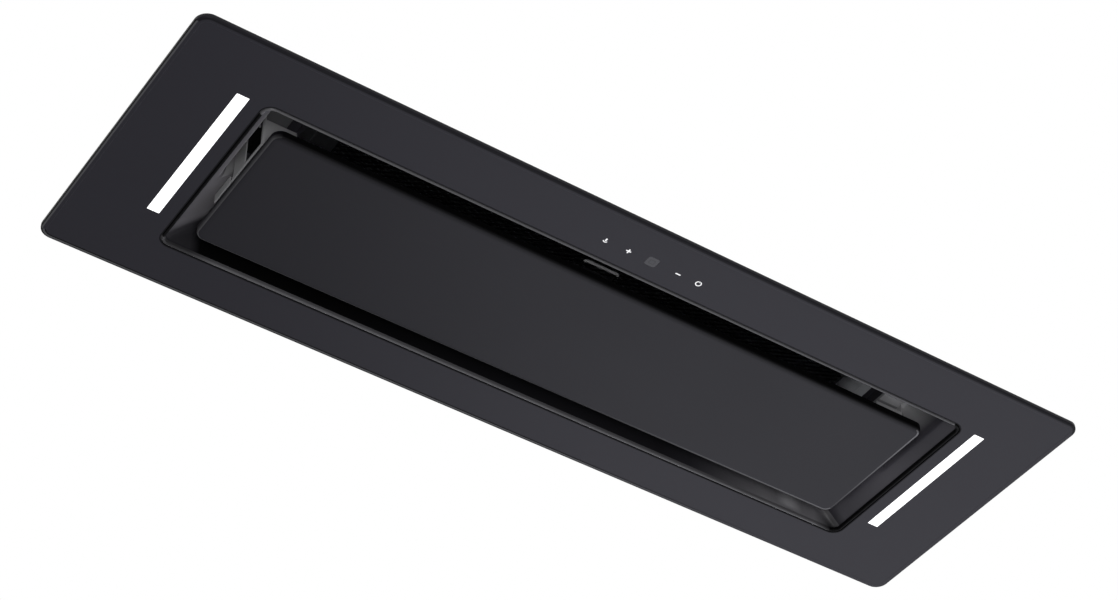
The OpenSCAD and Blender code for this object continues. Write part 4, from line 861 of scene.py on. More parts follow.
CATCH_T = 1.2
CATCH_BEND = 1.6
PLATE_W = 29.5
PLATE_TOP = 38.0
SIDE_START = -31.0
WINDOW_REAR = -6.5
WINDOW_LOW = 11.5
WINDOW_TOP = 40.0
SIDE_REAR = 12.0
FOOT_R = 5.5
TAIL_GAP = 0.3
TAIL_TOP = 18.0
TAB_IN = 4.0
RIB_IN = 8.0


def catch_bracket():
    """Bent sheet: a plate across the gap, then a side plate with a window, a curved foot and a low tail. The
    sheet is a grid of distance along the bent line and height; cells in the window are left out."""
    low, high = span("catch_bracket_right")
    outer, z0, z1 = high[0], low[2], high[2]
    x, y0 = outer - CATCH_T / 2, low[1] + CATCH_T / 2
    line = bends([(outer - PLATE_W, y0, 0), (x, y0, 0), (x, SIDE_REAR, 0)], CATCH_BEND)
    more = np.array([[x, y, 0] for y in (SIDE_START, WINDOW_REAR, 0.0)])
    line = np.vstack([line[:-1], more[more[:, 1] > line[-2, 1]], line[-1:]])
    normal = np.cross(tangents(line), [0, 0, 1.0])[:, None, :]
    front = line[:, 1] < y0 + 0.01
    heights = np.array([z0, WINDOW_LOW, PLATE_TOP, WINDOW_TOP, z1])
    tall = np.where(front[:, None], np.minimum(heights, PLATE_TOP) + (heights > PLATE_TOP) * 0.01, heights)
    grid = np.repeat(line[:, None, :], len(heights), axis=1)
    grid[:, :, 2] = tall
    middle_y = (line[:-1, 1] + line[1:, 1]) / 2
    keep = np.ones((len(line) - 1, len(heights) - 1), bool)
    hole = (middle_y > line[line[:, 0] > x - 0.01][0, 1]) & (middle_y < WINDOW_REAR)
    keep[np.ix_(hole, [1, 2])] = False
    keep[np.ix_(front[:-1] & front[1:], [2, 3])] = False
    shells = [sheet(grid + normal * CATCH_T / 2, -normal * CATCH_T, keep)]

    # Foot: below the arc z = z0 + R + 1 - sqrt(R^2 - (rear - y)^2), then the tail, the top tab and its rib
    rear = SIDE_REAR + FOOT_R
    y = np.linspace(SIDE_REAR, rear + TAIL_GAP, 13)
    top = z0 + FOOT_R - np.sqrt(np.maximum(FOOT_R ** 2 - np.maximum(rear - y, 0) ** 2, 0)) + 1.0
    foot = np.stack([np.column_stack([np.full(13, outer), y, z]) for z in (np.full(13, z0), top)], 1)
    inner, rib_y = collar_x + TAB_IN, low[1] + RIB_IN
    return shells + [
        sheet(foot, np.array([-CATCH_T, 0, 0])),
        block((outer - CATCH_T, rear + TAIL_GAP, z0), (outer, high[1], TAIL_TOP), 0.3, 0.25),
        block((inner, rib_y, z1 - CATCH_T), (outer - 0.2, SIDE_REAR, z1), 1.0, 0.3),
        block((inner, rib_y, PLATE_TOP - 2), (outer - 0.2, rib_y + CATCH_T, z1 - 0.2), 0.4, 0.25)]


# Face plate and light strips

FACE_T = 1.2
FACE_EDGE_R = 1.8
RIM_W = 1.6
RIM_IN = 5.0
WINDOW_R = 2.4
SHOULDER_W = 1.5
SLOT_GAP = 0.15


def face_shell():
    """Folded rim with a round lower edge, and inside it a flat sheet with the opening, slots and window."""
    low, high = span("face_plate")
    z, back = low[2], low[2] + FACE_T
    rows = [(RIM_IN, z, 0), (0, z, FACE_EDGE_R), (0, 0, 0.3), (RIM_W, 0, 0.3), (RIM_W, back, 0.5),
            (RIM_IN, back, 0)]
    flat = inset_loop(low, high, RIM_IN, 0, FACE_R - RIM_IN, 12, (24, 8))[:, :2]
    opening = outline(-lip_x - BEAD_GAP, lip_x + BEAD_GAP, lip_y0 - BEAD_GAP, lip_y1 + BEAD_GAP,
                      LIP_R + BEAD_GAP, 12)
    mark_low, mark_high = span("display_window")
    window = inset_loop(mark_low, mark_high, -0.1, 0, WINDOW_R, 4)[:, :2]
    strip_low, strip_high = span("light_diffuser_right")
    slot = inset_loop(strip_low, strip_high, SHOULDER_W - SLOT_GAP, 0, 0.5, 3)[:, :2]
    return [pan(low, high, FACE_R, rows, 12, (24, 8), 6, closed=True),
            plate(flat, [opening, window, slot * (-1, 1), slot], z, back)]


def diffuser():
    """Opal bar with eased edges, flush in its slot, and the shoulder that rests on the sheet."""
    low, high = span("light_diffuser_right")
    inset = np.array([SHOULDER_W, SHOULDER_W, 0])
    return [block(low + inset, high - inset, 0.4, 0.2), block(low + (0, 0, FACE_T), high, 0.8, 0.2)]


# Touch symbols and the display

LAMP_X, PLUS_X, MINUS_X, POWER_X = -45.4, -23.0, 25.8, 46.3


def band(r0, r1, start, end, steps=20):
    """Outline of a part of a ring, from one angle to another in degrees."""
    a = np.radians(np.linspace(start, end, steps))
    ring = np.column_stack([np.cos(a), np.sin(a)])
    return np.vstack([ring * r1, ring[::-1] * r0])


def bar_outline(w, d):
    return outline(-w / 2, w / 2, -d / 2, d / 2, 0.2)


def plus_outline(size, width):
    a, b = size / 2, width / 2
    return np.array([(b, -a), (b, -b), (a, -b), (a, b), (b, b), (b, a), (-b, a), (-b, b), (-a, b), (-a, -b),
                     (-b, -b), (-b, -a)])


def touch_symbols():
    """Printed marks: a hanging lamp, plus, minus and the on and off ring."""
    low, high = span("touch_symbols")
    y = centre("display_window")[1]
    marks = [
        (LAMP_X, y, band(1.5, 2.3, 20, 160)), (LAMP_X, y - 0.9, bar_outline(1.3, 3.0)),
        (PLUS_X, y, plus_outline(4.7, 1.15)), (MINUS_X, y, bar_outline(5.0, 1.15)),
        (POWER_X, y, band(1.95, 2.85, -72, 252, 40)), (POWER_X, y - 2.1, bar_outline(0.6, 1.6))]
    return [plate(shape + at, [], low[2], high[2]) for *at, shape in marks]


def display():
    return [block(*span("display_window"), WINDOW_R, 0.12)]


# Inside of the suction panel, with its hinges

BARREL_R = 3.55
PIN_R = 2.0
PIN_CLEAR = 0.05
EAR_R = 4.05
EAR_T = 1.5
EAR_REACH = 8.5
WEB_HALF = 6.5
RIVET_X = 9.0
HINGE_SCREW_R = 2.6
HINGE_HALF = 14.0
WALL_PLATE_DROP = 4.9
STRIKE_W = 22.0
hinge_x = span("hinge_arms")[1][0] - HINGE_HALF
_, hinge_y, hinge_z = centre("hinge_pins")


def panel_backing():
    """Sheet that closes the pan, with a shallow channel pressed into it all round."""
    low, high = span("panel_backing")
    z, sunk = high[2], high[2] - 0.7
    rows = [(40, low[2], 0), (0, low[2], 0.2), (0, z, 0.2), (22, z, 0.5), (23, sunk, 0.5), (27, sunk, 0.5),
            (28, z, 0.5), (40, z, 0)]
    return [pan(low, high, 7.7, rows, 8, (12, 4), least=2)]


def hinge_arms():
    """On each side a riveted base, a web and a barrel round the pin."""
    low, high = span("hinge_arms")
    x0, x1, z = hinge_x - WEB_HALF, hinge_x + WEB_HALF, low[2]
    rivet = [(0.1, 0), (2.2, 0), (2.0, 0.4), (1.2, 0.65), (0.1, 0.7)]
    return both([
        block((hinge_x - HINGE_HALF, low[1], z), (hinge_x + HINGE_HALF, high[1] - 0.8, z + 1.5), 3.0, 0.35),
        block((x0, hinge_y - BARREL_R, z + 1), (x1, hinge_y - 1.0, hinge_z), 0.4, 0.3),
        tube((x0, hinge_y, hinge_z), (x1, hinge_y, hinge_z), BARREL_R, PIN_R + PIN_CLEAR),
        *(turned(rivet, (hinge_x + dx, low[1] + 7, z + 1.5), (0, 0, 1), 20) for dx in (-RIVET_X, RIVET_X))])


def hinge_brackets():
    """Wall plates with two ears. An ear is a disc round the pin, a leg up from it and an arm to the wall."""
    low, high = span("hinge_brackets")
    y, z = high[1], high[2]
    half = high[0] - hinge_x
    wall_low = span("hinge_screws")[0][2] - WALL_PLATE_DROP
    near, far = hinge_y - EAR_R, hinge_y + EAR_R
    arm = [(far, wall_low), (y, wall_low), (y, z), (near + 2, z), (near, z - 2)]
    ear = np.vstack([half_circle(hinge_y, hinge_z, EAR_R, 17), arm])
    hole = circle(PIN_R, 24) + (hinge_y, hinge_z)
    shells = [block((hinge_x - half, y - 1.2, wall_low), (hinge_x + half, y, z), 1.5, 0.3, axis=1)]
    for x in (hinge_x - EAR_REACH, hinge_x + EAR_REACH - EAR_T):
        shells.append(plate(ear, [hole], x, x + EAR_T, axis=0))
    return both(shells)


def hinge_pins():
    return both([rod((hinge_x, hinge_y, hinge_z), EAR_REACH + 0.6, PIN_R, 0.6)])


def hinge_screws():
    low, high = span("hinge_screws")
    z, outer = (low[2] + high[2]) / 2, high[0] - HINGE_SCREW_R
    places = [(x, low[1] + 1.6, z) for x in (outer, 2 * hinge_x - outer)]
    return both(screws(places, (0, -1, 0), HINGE_SCREW_R, 1.6, 5.0, 1.5))


def strike_plates():
    low, high = span("strike_plates")
    return both([block((high[0] - STRIKE_W, low[1], low[2]), high, 2.0, 0.3)])


# Catch magnets: a ridged black case with two pole plates

MAGNET_W = 20.0
magnet_low, magnet_high = span("catch_magnets")
MAGNET_PLACES = (magnet_low[0], magnet_high[0] - MAGNET_W)


def magnet_cases():
    y, z0, z1 = magnet_low[1], magnet_low[2], magnet_high[2]
    shells = []
    for x0 in MAGNET_PLACES:
        shells.append(block((x0, y, z0 + 0.4), (x0 + MAGNET_W, magnet_high[1], z1), 1.2, 0.5))
        for x in np.arange(x0 + 3, x0 + MAGNET_W - 3, 2.6):
            shells.append(block((x, y + 0.3, z0 + 2), (x + 1.2, y + 0.9, z1 - 2), 0.4, 0.2))
    return shells


def magnet_poles():
    z = magnet_low[2]
    rows = [(magnet_low[1] + magnet_high[1]) / 2 + dy for dy in (-2.6, 2.6)]
    return [block((x0 + 2.5, y - 0.8, z), (x0 + MAGNET_W - 2.5, y + 0.8, z + 5), 0.4, 0.2)
            for x0 in MAGNET_PLACES for y in rows]


# Grease filter

RAIL_BEAD_IN = FILTER_SIDE - 2.2
CELL_L = 11.0
CELL_W = 5.2
STRAND_W = 0.55
STRAND_T = 0.35
MESH_LAYERS = 3


def filter_bead():
    """Half-round bead pressed along the middle of the four rails. Its two ends stop beside the latch."""
    x, y0 = filter_high[0] - RAIL_BEAD_IN, filter_low[1] + RAIL_BEAD_IN
    y1, z = filter_high[1] - FILTER_TAB - RAIL_BEAD_IN, filter_low[2]
    end = span("filter_latch")[1][0] + 6
    corners = [(end, y0, z), (x, y0, z), (x, y1, z), (-x, y1, z), (-x, y0, z), (-end, y0, z)]
    return [carry(bends(corners, 3.0), circle(0.9, 12) * (0.35, 1.0), (0, 0, 1))]


def filter_mesh():
    """Layers of expanded metal. Strand k lies at y_k + s_k A tri(x / L), with s_k = 1 or -1 in turn, so that
    each strand touches the next at its knots, and it rises and falls by a third of a millimetre."""
    low, high = span("filter_mesh")
    strand = outline(-STRAND_T / 2, STRAND_T / 2, -STRAND_W / 2, STRAND_W / 2, 0.05)[::3]
    x = np.arange(low[0], high[0] + 0.1, CELL_L / 2)
    tri = np.where(np.arange(len(x)) % 2 == 0, 1.0, -1.0)
    shells = []
    for layer, z in enumerate(np.linspace(low[2] + 0.9, high[2] - 0.9, MESH_LAYERS)):
        for k, y in enumerate(np.arange(low[1] + CELL_W / 4, high[1] - CELL_W / 4 + 0.01, CELL_W / 2)):
            s = 1 if (k + layer) % 2 == 0 else -1
            path = np.column_stack([x, y + s * tri * CELL_W * 0.22, z + 0.32 * s * np.roll(tri, 1)])
            shells.append(carry(path, strand, (0, 0, 1)))
    return shells


# Filter handle and latch

BAIL_R = 1.3
BAIL_X = 16.5
BAIL_EAR_R = 3.0
BAIL_EAR_T = 1.5
bail_low, bail_high = span("handle_bail")
bail_z, pivot_y = (bail_low[2] + bail_high[2]) / 2, bail_high[1] - BAIL_R


def handle_wire():
    """A bent wire whose ends turn out into the ears of the base plate."""
    bar_y = bail_low[1] + BAIL_R
    corners = [(bail_low[0], pivot_y), (-BAIL_X, pivot_y), (-BAIL_X, bar_y), (BAIL_X, bar_y),
               (BAIL_X, pivot_y), (bail_high[0], pivot_y)]
    return [carry(bends([(*corner, bail_z) for corner in corners], 2.4, 8), circle(BAIL_R, 20), (0, 0, 1))]


def handle_base():
    """Plate under the filter with two ears for the wire."""
    low, high = span("handle_plate")
    ear = np.vstack([half_circle(pivot_y, bail_z, BAIL_EAR_R, 15),
                     [(pivot_y + BAIL_EAR_R, high[2]), (pivot_y - BAIL_EAR_R, high[2])]])
    hole = circle(BAIL_R + 0.05, 20) + (pivot_y, bail_z)
    return [block((low[0], low[1], high[2] - 0.8), high, 3.0, 0.25)] + [
        plate(ear, [hole], x, x + BAIL_EAR_T, axis=0) for x in (low[0] + 1.5, high[0] - 1.5 - BAIL_EAR_T)]


def filter_latch():
    """Tongue with a rounded tip and a thumb tab with three ridges."""
    low, high = span("filter_latch")
    y, z = filter_low[1], low[2]
    return [block((low[0], low[1], high[2] - 3), high, 1.0, 0.5),
            block((low[0], y + 2.6, z), (high[0], high[1], high[2] - 2), 1.0, 0.6),
            *(block((low[0] + 1.5, y + 2.4, z + up), (high[0] - 1.5, y + 3.0, z + up + 0.4), 0.2, 0.1)
              for up in (0.9, 1.8, 2.7))]


# Screws that hold the tray

TRAY_SCREW_R = 3.4
TRAY_SCREW_X = (-240.0, -80.0, 80.0, 240.0)


def tray_screws():
    low, high = span("tray_screws")
    rows = (low[1] + TRAY_SCREW_R, high[1] - TRAY_SCREW_R)
    places = [(x, y, low[2] + 2) for x in TRAY_SCREW_X for y in rows]
    return screws(places, (0, 0, -1), TRAY_SCREW_R, 2.0, 4.0, 2.0)


# Sheet metal body above the face

SHEET_T = 1.0
HOUSE_FLANGE = 14.0
HOUSE_LEAN = 38.0
HOUSE_FLANGE_Y = 100.0
ROOF_IN_X = 8.0
ROOF_IN_Y = 6.0
COVER_FLANGE = 12.0
COVER_SHOULDER_Z = 138.0
COVER_SLOPE = 50.0
COVER_ROLL = 1.8
OUTER_COLUMN = 137.0
OUTLET_LOW_Z = 128.9
OUTLET_TOP_Z = 179.0
FLAP_RIBS_Z = (120, 142, 164)
PAN_HEAD = (4.0, 2.0, 5.0, 2.0)
house_low, house_high = span("plenum_housing")
cover_low, cover_high = span("blower_cover")
house_x, roof_z = house_high[0] - HOUSE_FLANGE, house_high[2]
cover_x = cover_high[0] - COVER_FLANGE


def pressed_rib(x0, x1, y, z, width=7.0, height=0.8):
    """Long round-ended rib pressed up out of a flat sheet."""
    return block((x0, y - width / 2, z - 0.5), (x1, y + width / 2, z + height), width / 2 - 0.1, 0.8, 6)


def roofed_walls(wall, opening, foot, roof, outer_r, inner_r):
    """Sheet box, open below: walls, a round fold and a roof with an opening. wall(inset, z) and opening(z)
    give the loops."""
    loops = [wall(0, foot), wall(0, roof), opening(roof), opening(roof - SHEET_T),
             wall(SHEET_T, roof - SHEET_T), wall(SHEET_T, foot)]
    return folded_skin(loops, [0, outer_r, 0.3, 0.3, inner_r, 0])


def low_body():
    """Shallow box: upright walls, a round fold, and a deck with a large opening."""
    low, high = span("low_body")
    top = high[2]

    def wall(inset, z):
        return inset_loop(low, high, inset, z, 4 - inset, 6, (12, 6))

    def opening(z):
        return loop(-house_x + 1, house_x - 1, house_low[1] + 2, house_high[1] - 2, z, 3, 6, (12, 6))

    ribs = [pressed_rib(house_high[0] + 10, high[0] - 8, y, top - 0.5) for y in (-90, 90)]
    return [roofed_walls(wall, opening, 0, top, 2.2, 1.4)] + both(ribs)


def plenum_housing():
    """Chamber above the filter: a front that leans back, a roof with an opening, and a flange at each end."""
    foot, x = house_low[2], house_x

    def wall(inset, z):
        lean = HOUSE_LEAN * (z - foot) / (roof_z - foot)
        return loop(-x + inset, x - inset, house_low[1] + lean + inset * 1.3, house_high[1] - inset, z,
                    3.2 - inset, 6, (16, 6))

    def opening(z):
        half = cover_x - ROOF_IN_X
        return loop(-half, half, cover_low[1] + ROOF_IN_Y, house_high[1] - ROOF_IN_Y, z, 3, 6, (16, 6))

    def ribs(*rows):
        return [pressed_rib(cover_high[0] + 14, x - 16, y, roof_z) for y in rows]

    flange = block((x - 0.5, -HOUSE_FLANGE_Y, foot), (house_high[0], HOUSE_FLANGE_Y, foot + SHEET_T), 2, 0.3)
    return [roofed_walls(wall, opening, foot, roof_z, 3.0, 2.2), *both([flange]),
            *ribs(32, 56, 80, 104), *mirrored(ribs(78, 92, 106))]


def wrapped_sheet(path, columns, edge, keep=None):
    """Sheet bent along a path in Y and Z and carried over X. Its two side edges roll inward on a quarter
    circle, so a column past the flat part sinks by edge - sqrt(edge^2 - t^2)."""
    tangent = tangents(path)
    inward = np.column_stack([np.zeros(len(path)), tangent[:, 2], -tangent[:, 1]])[:, None, :]
    t = np.clip(np.abs(columns) - max(columns) + edge, 0, edge)
    sink = edge - np.sqrt(edge ** 2 - t ** 2)
    grid = path[:, None, :] + inward * sink[None, :, None]
    grid[:, :, 0] = columns[None, :]
    return sheet(grid, inward * SHEET_T * np.where(t > 0.8 * edge, 0.3, 1.0)[None, :, None], keep)


def blower_cover():
    """Cover over the fans: one sheet bent from the front over the top and down the rear, where it has an
    outlet window for each scroll, with two end plates and a flange at each foot."""
    y0, y1, z1 = cover_low[1], cover_high[1], cover_high[2]
    scroll_low, scroll_high = span("scroll_right")
    window = (scroll_low[0] + 2.5, scroll_high[0] - 7.5)
    corners = [(0, y0, roof_z), (0, y0, COVER_SHOULDER_Z), (0, y0 + COVER_SLOPE, z1), (0, y1, z1),
               (0, y1, OUTLET_TOP_Z)]
    path = np.vstack([bends(corners, 4.0), [(0, y1, OUTLET_LOW_Z)], [(0, y1, roof_z)]])
    rolled = cover_x - COVER_ROLL + COVER_ROLL * np.sin(np.radians((0, 18, 36, 54, 72, 90)))
    right = np.concatenate([[0, window[0], sum(window) / 2, window[1], OUTER_COLUMN], rolled])
    columns = np.concatenate([-right[:0:-1], right])
    keep = np.ones((len(path) - 1, len(columns) - 1), bool)
    middle = np.abs((columns[:-1] + columns[1:]) / 2)
    keep[-2, (middle > window[0]) & (middle < window[1])] = False

    front, rear, top = y0 + COVER_ROLL, y1 - COVER_ROLL, z1 - COVER_ROLL
    corners = [(front, roof_z, 0), (front, COVER_SHOULDER_Z - 0.6, 0), (y0 + COVER_SLOPE + 0.8, top, 0),
               (rear, top, 0), (rear, roof_z, 0)]
    end = plate(bends(corners, 3.0)[:, :2], [], cover_x - SHEET_T, cover_x, axis=0)
    foot = block((cover_x - 0.5, y0, roof_z), (cover_high[0], y1, roof_z + SHEET_T), 2.0, 0.3)
    return [wrapped_sheet(path, columns, COVER_ROLL, keep)] + both([end, foot])


def discharge_collar():
    """Flange with a rectangular duct that stands out of it, and the stop for the flap inside."""
    low, high = span("discharge_collar")
    x, z0, z1, start = high[0] - 10, low[2] + 4, high[2] - 4, low[1] + 0.1
    rod_y, flap_z = centre("damper_rod")[1], span("damper_flap")[0][2]

    def ring(inset, y):
        return loop(-x + inset, x - inset, z0 + inset, z1 - inset, y, 2.6 - inset, 6)[:, [0, 2, 1]]

    duct = folded_skin([ring(0, start), ring(0, high[1]), ring(SHEET_T, high[1]), ring(SHEET_T, start)],
                       [0, 0.4, 0.4, 0])
    rim = outline(low[0], high[0], low[2], high[2], 3, 5)[:, ::-1]
    hole = outline(-x + 0.5, x - 0.5, z0 + 0.5, z1 - 0.5, 2.2, 5)[:, ::-1]
    stop = block((-x + 0.5, rod_y - 4, z0 + 0.5), (x - 0.5, rod_y - 0.8, flap_z + 3), 0.6, 0.4)
    return [duct, plate(rim, [hole], low[1], low[1] + SHEET_T, axis=1), stop]


def damper_flap():
    """Flap with a rolled knuckle round the rod and three ribs pressed through it."""
    low, high = span("damper_flap")
    _, y, z = centre("damper_rod")
    return [tube((low[0], y, z), (high[0], y, z), high[1] - y, PIN_R + PIN_CLEAR),
            block((low[0], y - 0.5, low[2]), (high[0], y + 0.5, z - 2.4), 2.0, 0.3, axis=1),
            *(block((low[0] + 14, y - 0.9, rib - 2.5), (high[0] - 14, y + 0.9, rib + 2.5), 2.4, 0.6, axis=1)
              for rib in FLAP_RIBS_Z)]


def damper_rod():
    low, high = span("damper_rod")
    half = (high - low) / 2
    return [rod((low + high) / 2, half[0], half[1], 0.5)]


def body_screws():
    """Pan heads on the end flanges, on the feet of the cover and, facing backward, on the collar's flange."""
    flange_x, foot_x = house_high[0] - HOUSE_FLANGE / 2, cover_high[0] - COVER_FLANGE / 2
    low, high = span("discharge_collar")
    middle, third = (low[2] + high[2]) / 2, (high[2] - low[2] - 8) / 3
    upright = [(flange_x, y, house_low[2] + SHEET_T) for y in (-80, 0, 80)]
    upright += [(foot_x, y, roof_z + SHEET_T) for y in (10, 54, 98)]
    rearward = [(high[0] - 5, low[1] + SHEET_T, middle + dz) for dz in (-third, third)]
    return both(screws(upright, (0, 0, 1), *PAN_HEAD) + screws(rearward, (0, 1, 0), *PAN_HEAD))


# Control box, gland, light driver and the lead between them

LID_SCREW_IN = 8.0
LID_EDGE = 1.2
CLIP_HALF = 4.0
GLAND_BORE = 3.8
GLAND_NUT = 8.0
LEAD_SAG = 1.2
LEAD_POINTS = 90


def control_box():
    """Moulded box, open above, with ribs on its front."""
    low, high = span("control_box")
    z = low[2]
    rows = [(20, z, 0), (0, z, 1.6), (0, high[2], 0.3), (2, high[2], 0.3), (2, z + 2, 1.0), (20, z + 2, 0)]
    return [pan(low, high, 5, rows, 8, (6, 6), least=2)] + [
        block((x - 1, low[1], z + 5), (x + 1, low[1] + 1, high[2] - 5), 0.8, 0.3)
        for x in np.arange(low[0] + 14, high[0] - 10, 10.0)]


def control_lid():
    """Lid with a soft edge, a raised field and a row of ridges on it."""
    low, high = span("control_lid")
    top = high[2] - LID_EDGE
    return [block(low, (*high[:2], top), 5.0, 1.1, 8),
            block((*(low + 18)[:2], top - 0.5), (*(high - 18)[:2], top + 0.6), 6.0, 0.6, 8),
            *(block((x, low[1] + 24, top), (x + 2.2, high[1] - 24, top + 1.0), 1.0, 0.4)
              for x in np.arange(low[0] + 30, high[0] - 30, 6.0))]


def lid_screws():
    low, high = span("control_lid")
    (x0, y0, _), (x1, y1, _) = low + LID_SCREW_IN, high - LID_SCREW_IN
    places = [(x, y, high[2] - LID_EDGE) for x in (x0, x1) for y in (y0, y1)]
    return screws(places, (0, 0, 1), 3.2, 1.2, 3.0, 1.6)


def mains_gland():
    """Cable gland: a neck, a six-sided collar and a clamping nut with grip ribs."""
    low, high = span("mains_gland")
    wall = span("control_box")[1][1]
    x, _, z = centre("mains_gland")
    out, inside, nut = high[1] - wall, low[1] - wall, GLAND_NUT

    def ring(profile, shape=None, sides=72):
        return turned(profile, (x, wall, z), (0, 1, 0), sides, shape, closed=True)

    hexagon = (2, lambda a: math.cos(math.pi / 6) / np.cos((a % (math.pi / 3)) - math.pi / 6))
    grip = (2, lambda a: 1 + 0.03 * np.sign(np.sin(14 * a)) * np.abs(np.sin(14 * a)) ** 0.5)
    neck = [(GLAND_BORE, inside), (GLAND_BORE, out - 0.3), (GLAND_BORE + 0.4, out), (5.2, out),
            (6.2, out - 1.2), (6.2, inside)]
    collar = [(6.0, 5.0), (6.0, 0.0), (nut + 1.4, 0.0), (nut + 1.4, 4.4), (nut + 0.7, 5.0)]
    clamp = [(5.0, out - 2.0), (5.0, 8.0), (nut - 0.3, 8.0), (nut - 0.2, 9.0), (nut - 0.2, out - 6.0),
             (nut - 1.2, out - 3.4), (6.2, out - 2.0)]
    return [ring(neck), ring(collar, hexagon), ring(clamp, grip, 168)]


def light_driver():
    """Moulded supply with a stepped lid, a seam across it near each end, and two feet."""
    low, high = span("light_driver")
    y0, y1, z0, z1 = low[1], high[1], low[2], high[2]
    x0, x1, split = low[0] + 8, high[0] - 8, z0 + 15
    shells = [block((x0, y0, z0), (x1, y1, split), 3.0, 0.9, 6),
              block((x0 + 0.7, y0 + 0.7, split - 0.5), (x1 - 0.7, y1 - 0.7, z1), 2.6, 1.4, 6)]
    shells += [block((x, y0 + 4, z1 - 0.6), (x + 1.2, y1 - 4, z1 - 0.05), 0.5, 0.2)
               for x in (x0 + 16, x1 - 17)]
    y = (y0 + y1) / 2 + 6
    for start, end, shift in ((low[0], x0 + 1, -0.5), (x1 - 1, high[0], 0.5)):
        hole = circle(2.0, 20) + ((start + end) / 2 + shift, y)
        shells.append(plate(outline(start, end, y - 7, y + 7, 2.5, 5), [hole], z0, z0 + 2))
    return shells


def driver_lead():
    """Round lead between the box and the driver. Between its clips it sags by 1.2 sin(pi t)^2 millimetres."""
    low, high = span("driver_lead")
    _, y, z = centre("driver_lead")
    clip_low, clip_high = span("lead_clips")
    stops = np.array([low[0] + 12, clip_low[0] + CLIP_HALF, clip_high[0] - CLIP_HALF, high[0]])
    x = np.linspace(low[0], high[0], LEAD_POINTS)
    run = np.clip(np.searchsorted(stops, x) - 1, 0, 2)
    t = np.clip((x - stops[run]) / (stops[run + 1] - stops[run]), 0, 1)
    path = np.column_stack([x, np.full(LEAD_POINTS, y), z - LEAD_SAG * np.sin(np.pi * t) ** 2])
    return [carry(path, circle((high[2] - low[2]) / 2, 18), (0, 1, 0))]


def lead_clips():
    """P clips: a band round the lead on a short foot with a screw. Returns the bands and the screws."""
    low, high = span("lead_clips")
    _, y, z = centre("driver_lead")
    r = z - span("driver_lead")[0][2]
    bands, places = [], []
    for x in (low[0] + CLIP_HALF, high[0] - CLIP_HALF):
        x0, x1 = x - CLIP_HALF, x + CLIP_HALF
        bands += [tube((x0, y, z), (x1, y, z), r + 1.2, r),
                  block((x0, low[1], low[2]), (x1, high[1] - 1.7, low[2] + 1.5), 1.6, 0.35),
                  block((x0, y - 2, low[2]), (x1, y + 2, z - r - 0.2), 0.5, 0.3)]
        places.append((x, low[1] + 4, low[2] + 1.5))
    return bands, screws(places, (0, 0, 1), 2.6, 1.4, 1.5, 1.2)


# Fans: a back disc with its hub, a front ring and curved blades

FAN_R = 46.0
BLADE_D = 9.0
BLADES = 24


def impeller():
    """Blades are arcs from radius R - 8.7 to R - 0.6 whose angle grows as t^1.6 times 13 degrees."""
    low, high = span("impeller_right")
    x0, x1, inner_r = low[0], high[0], FAN_R - BLADE_D
    _, y, z = centre("fan_shaft")
    disc = [(4.0, x0), (FAN_R - 0.4, x0), (FAN_R, x0 + 0.4), (FAN_R, x0 + 1.1), (FAN_R - 0.4, x0 + 1.5),
            (15.0, x0 + 1.5), (12.0, x0 + 4), (11.0, x0 + 16), (4.0, x0 + 16)]
    front = [(inner_r, x1 - 2), (FAN_R, x1 - 2), (FAN_R, x1 - 0.4), (FAN_R - 0.4, x1), (inner_r + 0.4, x1),
             (inner_r, x1 - 0.4)]
    shells = [turned(profile, (0, y, z), (1, 0, 0), 64, closed=True) for profile in (disc, front)]
    t = np.linspace(0, 1, 6)
    radius = inner_r + 0.3 + (BLADE_D - 0.9) * t
    for k in range(BLADES):
        a = np.radians(13) * t ** 1.6 + 2 * np.pi * k / BLADES
        edge = np.column_stack([np.zeros(6), y + radius * np.cos(a), z + radius * np.sin(a)])
        grid = np.stack([edge + (x, 0, 0) for x in (x0 + 1, x1 - 1)], 1)
        side = np.column_stack([np.zeros(6), -np.sin(a), np.cos(a)]) * 0.8
        shells.append(sheet(grid, side[:, None, :]))
    return shells


# All pieces: name, shells, CAD node and, for an extra piece, its own slot

